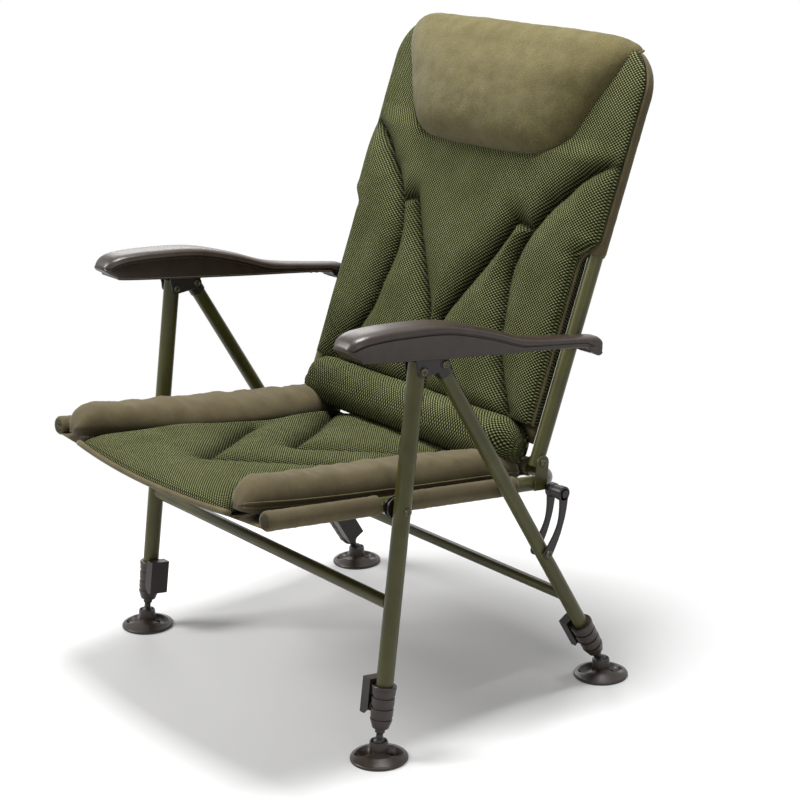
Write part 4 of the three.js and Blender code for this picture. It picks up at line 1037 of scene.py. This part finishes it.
def back_cover():
    """The back's stretched panel with a pocket drawn over the upper part of its tube."""
    start = 22 * MM
    rows = 70
    columns = 60
    upper = []
    uv = []
    for r in np.linspace(start, BACK_TOP, rows + 1):
        reach = RAIL_PLANE - 16 * MM if r < POCKET_START else RAIL_PLANE
        past = max(r - (BACK_TOP - BACK_BEND), 0)
        reach = min(reach, RAIL_PLANE - BACK_BEND + math.sqrt(max(BACK_BEND**2 - past**2, 0)))
        for share in np.linspace(-1, 1, columns + 1):
            x = share * reach
            upper.append((x, 0.8 * MM * noise.noise(Vector((x * 8, r * 8, 5))), r))
            uv.append((x, r))
    lower = [(x, y - CLOTH, z) for x, y, z in upper]
    piece = add_piece(
        "back_cover", lower + upper, close_grids(rows, columns), BACK, "back", "brown_cloth", uv=uv + uv,
        replaces=["back_panel"],
    )
    rough_path = rounded_path(hoop(POCKET_START, BACK_TOP), BACK_BEND)
    path = []
    for a, b in zip(rough_path, rough_path[1:]):
        path += straight(a, b, max(int((b - a).length / (6 * MM)), 1))[:-1]
    path.append(rough_path[-1])
    radii = [SLEEVE_RADIUS + 0.4 * MM * noise.noise(Vector((i * 0.5, 9, 0))) for i in range(len(path))]
    radii[0] = radii[-1] = SLEEVE_RADIUS - CLOTH
    points, faces = tube_mesh(path, radii, 26)
    add_piece("back_pocket", points, faces, BACK, "back", "brown_cloth")


# Tubes


LEG_RADIUS = {"front": 12.5 * MM, "rear": 11 * MM}
LEG_PAST_PIVOT = {"front": 12 * MM, "rear": 5.4 * MM}
CROSSBAR_RADIUS = {"front": 9.5 * MM, "rear": 8.5 * MM}


def tubes():
    leg_foot = 38 * MM
    for row, hand, _, ball, leg in legs():
        top = pivot_height(row, ball) + LEG_PAST_PIVOT[row]
        node = f"{row}_leg_{hand}"
        mesh = tube_mesh(straight((0, 0, leg_foot), (0, 0, top), 2), LEG_RADIUS[row], 36)
        hard_piece(f"{node}_tube", mesh, leg, node, "olive_paint", 35)
    for row, radius in CROSSBAR_RADIUS.items():
        node = f"{row}_crossbar"
        low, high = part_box(node)
        centre = (low + high) / 2
        reach = high.x - 2 * MM
        mesh = tube_mesh([(-reach, centre.y, centre.z), (reach, centre.y, centre.z)], radius, 32)
        hard_piece(f"{node}_tube", mesh, Matrix.Identity(4), node, "olive_paint", 35)
    mesh = tube_mesh(rounded_path(hoop(-BACK_BELOW_HINGE, BACK_TOP), BACK_BEND), TUBE_RADIUS, 32)
    hard_piece("back_tube", mesh, BACK, "back_frame", "olive_paint", 35)


# Hard parts


# Radius in millimetres at which a turned profile ends on its axis
TIP = 0.001


def combined(*meshes):
    """Several closed meshes as one list of points and faces."""
    points = []
    faces = []
    for more_points, more_faces in meshes:
        start = len(points)
        points += list(more_points)
        faces += [tuple(start + i for i in face) for face in more_faces]
    return points, faces


def shifted(mesh, offset):
    points, faces = mesh
    return [Vector(point) + Vector(offset) for point in points], faces


def lathe_across(profile, sides=32):
    """A turned piece about x from (x, radius) pairs."""
    points, faces = lathe_mesh([(radius, place) for place, radius in profile], sides)
    return [Vector((point.z, point.x, point.y)) for point in points], faces


def plate_mesh(outline, x0, x1, bevel=0.7 * MM):
    """A flat plate across x from (y, z) pairs, with softened rims."""
    outline = [np.array(place, float) for place in outline]
    count = len(outline)
    area = sum(a[0] * b[1] - a[1] * b[0] for a, b in zip(outline, outline[1:] + outline[:1]))
    inner = []
    for before, place, after in zip(outline[-1:] + outline[:-1], outline, outline[1:] + outline[:1]):
        run = (after - before) / max(np.linalg.norm(after - before), 1e-9)
        inner.append(place + np.array([-run[1], run[0]]) * (1 if area > 0 else -1) * bevel)
    rings = [(x0, inner), (x0 + bevel, outline), (x1 - bevel, outline), (x1, inner)]
    points = [(x, place[0], place[1]) for x, ring in rings for place in ring]
    faces = []
    for ring in range(3):
        for i in range(count):
            a = ring * count + i
            b = ring * count + (i + 1) % count
            faces.append((a, b, b + count, a + count) if area > 0 else (b, a, a + count, b + count))
    first = tuple(range(count))
    last = tuple(range(3 * count, 4 * count))
    faces += [first[::-1], last] if area > 0 else [first, last[::-1]]
    return points, faces


def plate_pair(outline, inner, outer, bevel=0.7 * MM):
    """The same plate on both sides of a leg, all sizes in millimetres."""
    outline = metres(outline)
    return [plate_mesh(outline, a * MM, b * MM, bevel) for a, b in ((-outer, -inner), (inner, outer))]


def box_outline(y0, y1, z0, z1):
    return metres([(y0, z0), (y1, z0), (y1, z1), (y0, z1)])


def arc(centre, radius, start, end, steps=12):
    """Places along a round, with angles in degrees from +y towards +z."""
    angles = np.radians(np.linspace(start, end, steps + 1))
    return [(centre[0] + radius * math.cos(a), centre[1] + radius * math.sin(a)) for a in angles]


ARM_RUN = TAIL_PIN.y - LEG_PIVOT.y
ARM_RISE = LEG_PIVOT.z - TAIL_PIN.z
ARM_SLOPE = math.atan2(ARM_RISE, ARM_RUN) + math.asin(16.7 * MM / math.hypot(ARM_RISE, ARM_RUN))
ARM_CROWN = [
    (-17.5, 7.7), (-12, 13), (0, 15.5), (62, 17), (139, 22), (214.5, 38.5), (290, 49), (371.5, 46.5),
    (415, 42), (434, 37.5), (446, 31), (453, 21),
]
ARM_UNDER = [
    (-17.5, -4), (-15, -9), (-10, -12), (-4, -11.5), (4, -8), (16, -2), (32, 1.8), (200, 1.8),
    (411, 1.8), (430, 5), (445, 10.5), (453, 16),
]
ARM_HALF = [
    (-17.5, 12), (-14, 16), (-8, 18), (60, 18.8), (120, 21), (200, 25), (290, 26.5), (400, 26.5),
    (428, 26), (442, 23.5), (449, 19.5), (453, 15),
]
ARM_WALL = 3.4


def arm_ring(forward, top, low, wide):
    """One section through an armrest's shell, open below between its tail and its nose."""
    arc_steps = 22
    deep = top - low
    edge = min(8.5, 0.42 * deep)
    bead = min(1.0, max(deep - 6, 0) / 14) * min(1.0, max(forward + 8, 0) / 14)
    open_share = float(soft_step(forward, 66, 10) * soft_step(430 - forward, 0, 12))
    ring = []
    for i in range(arc_steps + 1):
        angle = math.pi * i / arc_steps
        c = math.cos(angle)
        x = (wide - 1.2) * math.copysign(abs(c) ** 0.62, c)
        ring.append((x, top - edge * (1 - math.sin(angle) ** 0.8)))
    groove = [
        (1.0 * bead - 1.2, 1.2), (1.1 * bead - 1.2, 2.4), (-1.6 * bead - 0.6, 3.4),
        (-1.6 * bead - 0.6, 4.8), (0.7 * bead - 0.9, 5.8), (0.6 * bead - 0.8, 7.0), (-0.7, 8.2),
    ]
    room = min(1, max(deep - edge - 4.2, 0.5) / 8.6)
    side = [(wide + out, top - edge - down * room) for out, down in groove]
    side += [(wide - 0.6, low + 3.0), (wide + 0.3, low + 2.2), (wide + 0.3, low + 0.7), (wide - 0.5, low)]
    ring += [(-x, z) for x, z in side]
    roof = low + 0.2 + (top - ARM_WALL - edge * 0.5 - low) * open_share
    shoulder = low + (roof - low) * 0.6
    inside = max(wide - ARM_WALL, 1.0)
    ring += [(-inside, low), (-inside, shoulder), (-inside * 0.7, roof), (0, roof)]
    ring += [(inside * 0.7, roof), (inside, shoulder), (inside, low)]
    return ring + side[::-1]


def arm_shell():
    forward = np.concatenate([
        np.linspace(-17.5, 0, 12), np.linspace(6, 425, 86), np.linspace(430, 453, 12),
    ])
    lines = [smooth_line(line) for line in (ARM_CROWN, ARM_UNDER, ARM_HALF)]
    points = []
    for f in forward:
        ring = arm_ring(f, *(np.interp(f, line[:, 0], line[:, 1]) for line in lines))
        points += [(x * MM, -f * MM, z * MM) for x, z in ring]
    count = len(ring)
    faces = ring_faces(len(forward) - 1, count)
    for row, step in ((0, -1), (len(forward) - 1, 1)):
        start = row * count
        middle = len(points)
        points.append(tuple(sum((Vector(points[start + i]) for i in range(count)), Vector()) / count))
        faces += [(start + i, start + (i + 1) % count, middle)[::step] for i in range(count)]
    return points, faces


def arm_rack():
    """The toothed bar under an armrest, and the ribs across its tail."""
    notch_pitch = 18
    notch_radius = 4.5
    teeth_at = 18
    teeth = [(-227, 32), (-411, 36), (-411, teeth_at)]
    for at in range(402, 227, -notch_pitch):
        teeth += arc((-at, teeth_at), notch_radius, 180, 0, 6)
    teeth.append((-227, teeth_at))
    under = smooth_line(ARM_UNDER)
    meshes = [plate_mesh(metres(teeth), -4 * MM, 4 * MM, 0.3 * MM)]
    for at in range(8, 57, 12):
        low = float(np.interp(at, under[:, 0], under[:, 1]))
        rib = box_outline(-at - 1, -at + 1, low - 1.6, low + 2)
        meshes.append(plate_mesh(rib, -15 * MM, 15 * MM, 0.3 * MM))
    return combined(*meshes)


def armrests():
    shell = arm_shell()
    rack = arm_rack()
    for hand, side in SIDES:
        matrix = frame_at(TAIL_PIN, ARM_SLOPE) @ Matrix.Translation((side * LEG_PLANE, 0, 0))
        node = f"armrest_{hand}"
        hard_piece(f"arm_shell_{hand}", shell, matrix, node, "dark_plastic", 42)
        hard_piece(f"arm_rack_{hand}", rack, matrix, node, "dark_plastic", replaces=False)


def rivet_mesh(x0, x1):
    """A tubular rivet: two ringed heads with sunk middles on one shank."""
    head = metres([
        (1.6, TIP), (1.6, 2.2), (0.5, 2.7), (0, 3.6), (0.3, 5.0), (1.3, 6.0), (2.4, 6.0), (2.4, 3.0),
    ])
    return lathe_across([(x0 + x, r) for x, r in head] + [(x1 - x, r) for x, r in head[::-1]], 28)


def rivets():
    nodes = [f"{row}_leg_pin_{hand}" for row in ("front", "rear") for hand, _ in SIDES]
    kinds = ("seat_pivot_pin", "back_hinge_pin", "link_pin")
    nodes += [f"{kind}_{hand}" for hand, _ in SIDES for kind in kinds]
    for node in nodes:
        low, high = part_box(node)
        middle = (low + high) / 2
        mesh = rivet_mesh(low.x - middle.x, high.x - middle.x)
        hard_piece(f"{node}_rivet", mesh, Matrix.Translation(middle), node, "rivet_steel", 50)


def brackets():
    """The pair of plates that joins both legs of a side, with a web and rims at the rivets."""
    inner = 12.9
    outer = 16.1
    drop = 9
    rear = Matrix.Rotation(ARM_SLOPE, 4, "X") @ (REAR_PIVOT - LEG_PIVOT) / MM
    outline = arc((0, 0), drop, 180, 270, 8) + arc((rear.y, rear.z), drop, 270, 372, 10)
    outline += [(40, 10), (44.5, 16), (46, 22.5), (46, 25), (44.5, 26), (-12.5, 26), (-14, 24.5)]
    outline += [(-14, 21), (-12.5, 12), (-10, 5)]
    meshes = plate_pair(outline, inner, outer)
    web = box_outline(-13.4, 45.4, 22.5, 25.8)
    meshes.append(plate_mesh(web, -inner * MM - 0.4 * MM, inner * MM + 0.4 * MM, 0.2 * MM))
    ring = [(outer - 0.6, 6.6), (outer + 0.5, 6.9), (outer + 0.5, 8.4), (outer - 0.6, 8.9)]
    for y, z in ((0, 0), (rear.y, rear.z)):
        for side in (-1, 1):
            profile = metres([(side * x, r) for x, r in ring[::side]])
            meshes.append(shifted(lathe_across(profile, 32), (0, y * MM, z * MM)))
    for hand, side in SIDES:
        matrix = frame_at(LEG_PIVOT, ARM_SLOPE) @ Matrix.Translation((side * LEG_PLANE, 0, 0))
        hard_piece(f"bracket_{hand}", combined(*meshes), matrix, f"leg_bracket_{hand}", "black_plastic")


def links():
    """The bowed pair of arms between each rear leg and the seat tube, with a barrel on top."""
    inner = 11.3
    outer = 15.9
    round_end = 9
    run = SEAT @ Vector((0, 292.4 * MM, -6 * MM)) - LINK_FOOT
    length = run.length / MM
    lean = math.atan2(run.y, run.z)

    def edge(side, bow):
        places = []
        for t in np.linspace(0, 1, 15):
            out = side * (7.4 + 1.6 * abs(2 * t - 1)) + bow * math.sin(math.pi * t)
            places.append((out, t * length))
        return places

    outline = arc((0, 0), round_end, 0, -180, 12)[::-1] + edge(1, 7)[1:-1]
    outline += arc((0, length), round_end, 0, 180, 12) + edge(-1, 11)[::-1][1:-1]
    barrel = lathe_across(metres([
        (-outer, TIP), (-outer, 9.8), (-outer + 1.2, 11), (-6, 11), (-5, 10), (5, 10), (6, 11),
        (outer - 1.2, 11), (outer, 9.8), (outer, TIP),
    ]), 36)
    top = (0, 0, length * MM)
    for hand, side in SIDES:
        node = f"bracing_link_{hand}"
        low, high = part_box(node)
        x0, x1 = sorted((side * (abs(low.x) - LEG_PLANE), side * (abs(high.x) - LEG_PLANE)))
        boss = lathe_across([
            (x0, 0.01 * MM), (x0, 5 * MM), (x0 + MM, 6 * MM), (x1 - MM, 6 * MM), (x1, 5 * MM),
            (x1, 0.01 * MM),
        ], 28)
        arms = plate_pair(outline, inner, outer, 1.1 * MM)
        mesh = combined(*arms, shifted(barrel, top), shifted(boss, top))
        matrix = frame_at(LINK_FOOT, lean) @ Matrix.Translation((side * LEG_PLANE, 0, 0))
        hard_piece(f"link_{hand}", mesh, matrix, node, "black_plastic")


def seat_tube():
    """The seat's bent tube with the two ears that carry the back's hinge."""
    hinge_y = 277.4
    hinge_z = 33
    ear = 12
    corners = [
        (-RAIL_PLANE, -RAIL_FRONT, 0), (-RAIL_PLANE, RAIL_REAR, 0), (RAIL_PLANE, RAIL_REAR, 0),
        (RAIL_PLANE, -RAIL_FRONT, 0),
    ]
    meshes = [tube_mesh(rounded_path(corners, RAIL_BEND), TUBE_RADIUS, 32)]
    outline = [(hinge_y - ear, -8), (hinge_y + ear, -8)] + arc((hinge_y, hinge_z), ear, 0, 180, 18)
    for side in (-1, 1):
        x0, x1 = sorted((side * (RAIL_PLANE + 11.2 * MM), side * (RAIL_PLANE + 14.3 * MM)))
        meshes.append(plate_mesh(metres(outline), x0, x1, 0.9 * MM))
    hard_piece("seat_tube", combined(*meshes), SEAT, "seat_frame", "olive_paint")


COLLAR = [
    (9.3, 23), (11, 23), (12, 23.8), (15.4, 34), (16, 36.4), (16, 37.4), (14.4, 38), (14.4, 41.2),
    (16, 41.8), (16.3, 53.4), (14.7, 54), (14.7, 57.2), (16.4, 57.8), (16.6, 69.4), (15, 70),
    (15, 73.2), (16.8, 73.8), (17, 81.6), (17.6, 82.4), (17.6, 86), (17, 87),
]


def leg_fittings():
    """Each leg's ribbed collar with its ear, the inner leg and the ball stud."""
    collar_play = {"front": 12.9, "rear": 11.4}
    ball_radius = 9.6
    for row, hand, side, _, leg in legs():
        collar = lathe_mesh(metres(COLLAR + [(collar_play[row], 87)]), 48)
        ear = [(24, 45.8), (12, 45.8), (12, 57.8), (22, 57.8), (27, 50)]
        ear = plate_mesh(metres([(-side * out, up) for out, up in ear]), -12.8 * MM, 12.8 * MM)
        ear = ([Vector((p[1], p[0], p[2])) for p in ear[0]], [face[::-1] for face in ear[1]])
        clamp = combined(collar, ear)
        hard_piece(f"{row}_clamp_{hand}", clamp, leg, f"{row}_collar_{hand}", "dark_plastic", 30)
        tube = tube_mesh([(0, 0, 25 * MM), (0, 0, 210 * MM)], 9 * MM, 32)
        hard_piece(f"{row}_slide_{hand}", tube, leg, f"{row}_inner_leg_{hand}", "olive_paint")
        stud = [(TIP, -ball_radius)]
        for angle in np.linspace(0.3, 2.6, 14):
            stud.append((ball_radius * math.sin(angle), -ball_radius * math.cos(angle)))
        stud += [(5, 9.6), (5, 14.6), (7.2, 17), (7.2, 23), (9, 23.2), (9, 24.7), (7, 24.8)]
        mesh = lathe_mesh(metres(stud), 32)
        hard_piece(f"{row}_stud_{hand}", mesh, leg, f"{row}_ball_stud_{hand}", "black_plastic")


FOOT_DROP = 24
FOOT_RADIUS = 41.75


def foot_height(x, y):
    """Height of a mud foot's upper face: a rim, two bowls, a ridge between them and the hub."""
    bowl_at = 23
    bowl_radius = 21
    bowl_centre_height = 24
    hole_floor = 0.6
    out = math.hypot(x, y)
    height = np.interp(out, [0, 13.5, 25.9, 38.4, 40.6, FOOT_RADIUS], [15, 15, 11.5, 5.2, 4.5, 2.6])
    for side in (-1, 1):
        away = math.hypot(x - side * bowl_at, y)
        if away < bowl_radius:
            height = min(height, bowl_centre_height - math.sqrt(bowl_radius**2 - away**2))
    in_round_hole = math.hypot(x + 33, y) < 2.4
    in_slot = math.hypot(x - 17, max(abs(y) - 2.6, 0)) < 3
    return min(height, hole_floor) if in_round_hole or in_slot else height


def feet():
    """The mud feet: a shaped disc with a hub that holds the ball."""
    sides = 132
    rings = [0, 4, 8, 12, 13.4, 14.6] + list(np.linspace(15.6, 40.2, 44)) + [40.9, 41.4, FOOT_RADIUS]
    points = []
    for ring in rings:
        for angle in round_angles(sides):
            x, y = ring * math.cos(angle), ring * math.sin(angle)
            points.append((x * MM, y * MM, (foot_height(x, y) - FOOT_DROP) * MM))
    for ring, height in ((FOOT_RADIUS, 0.8), (41, 0)):
        z = (height - FOOT_DROP) * MM
        points += [(ring * math.cos(a) * MM, ring * math.sin(a) * MM, z) for a in round_angles(sides)]
    faces = ring_faces(len(rings) + 1, sides, inward=True)
    faces.append(tuple(range((len(rings) + 1) * sides, (len(rings) + 2) * sides))[::-1])
    hub = lathe_mesh(metres([
        (13.5, -22.5), (13.5, -4.8), (13.2, 2.6), (12.4, 4.2), (11, 4.6), (10.6, 4.2), (10.5, 2),
        (10.6, -2), (9, -7), (4, -10.5), (TIP, -10.8),
    ]), 48)
    disc = combined((points, faces), hub)
    turn = Matrix.Rotation(math.radians(50), 4, "Z")
    for row, hand, _, ball, _ in legs():
        matrix = Matrix.Translation(ball) @ turn
        hard_piece(f"{row}_disc_{hand}", disc, matrix, f"{row}_mud_foot_{hand}", "dark_plastic", 32)


def turned_between(name, node, profile_of):
    """A turned black piece across x that is as long as its CAD node."""
    low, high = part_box(node)
    mesh = lathe_across(profile_of((high.x - low.x) / 2), 40)
    hard_piece(name, mesh, Matrix.Translation((low + high) / 2), node, "black_plastic", 30)


def spacer_profile(reach):
    """A waisted spacer with a flange at each end."""
    bore = 3.3 * MM
    end = [
        (0, bore), (0, 14.7 * MM), (0.8 * MM, 15.5 * MM), (2.6 * MM, 15.5 * MM), (3.2 * MM, 12.5 * MM),
    ]
    return [(-reach + x, r) for x, r in end] + [(reach - x, r) for x, r in end[::-1]]


def bush_profile(reach):
    """A bush with four fine grooves."""
    bore = 3.3 * MM
    radius = 9 * MM
    groove = 8.2 * MM
    grooves = 4
    profile = [(-reach, bore), (-reach, radius)]
    for i in range(grooves):
        x = -reach + 2 * reach * (i + 0.5) / grooves
        profile += [(x - 0.5 * MM, radius), (x - 0.3 * MM, groove)]
        profile += [(x + 0.3 * MM, groove), (x + 0.5 * MM, radius)]
    return profile + [(reach, radius), (reach, bore)]


def small_turned_parts():
    for hand, _ in SIDES:
        turned_between(f"spacer_{hand}", f"seat_pivot_spacer_{hand}", spacer_profile)
        turned_between(f"bush_{hand}", f"tail_bush_{hand}", bush_profile)
        ball = place_of(f"foot_tilt_rear_{hand}")
        up = pivot_height("rear", ball) / MM
        profile = metres([
            (11.2, up - 21), (12.1, up - 21), (12.5, up - 20.4), (12.5, up + 5.4), (11.6, up + 6.9),
            (9, up + 7.3), (TIP, up + 7.3),
        ])
        leg = frame_at(ball, lean_of(f"leg_slide_rear_{hand}"))
        node = f"rear_leg_ferrule_{hand}"
        hard_piece(f"ferrule_{hand}", lathe_mesh(profile, 40), leg, node, "black_plastic", 30)


def dress_carried_nodes():
    """Every CAD node that still shows gets the finish of its slot."""
    slots = {part["node"]: part["material_slot"] for part in frame["record"]["subparts"]}
    for name, node in frame["nodes"].items():
        node.data.materials.clear()
        node.data.materials.append(FINISHES[slots[name]])


make_camera()
make_floor()
make_world()
make_lamps()
dress_carried_nodes()
back_quilt()
seat_quilt()
bolsters()
lumbar()
pillow()
seat_base()
back_cover()
tubes()
armrests()
rivets()
brackets()
links()
seat_tube()
leg_fittings()
feet()
small_turned_parts()

bpy.context.scene.view_settings.view_transform = "Standard"
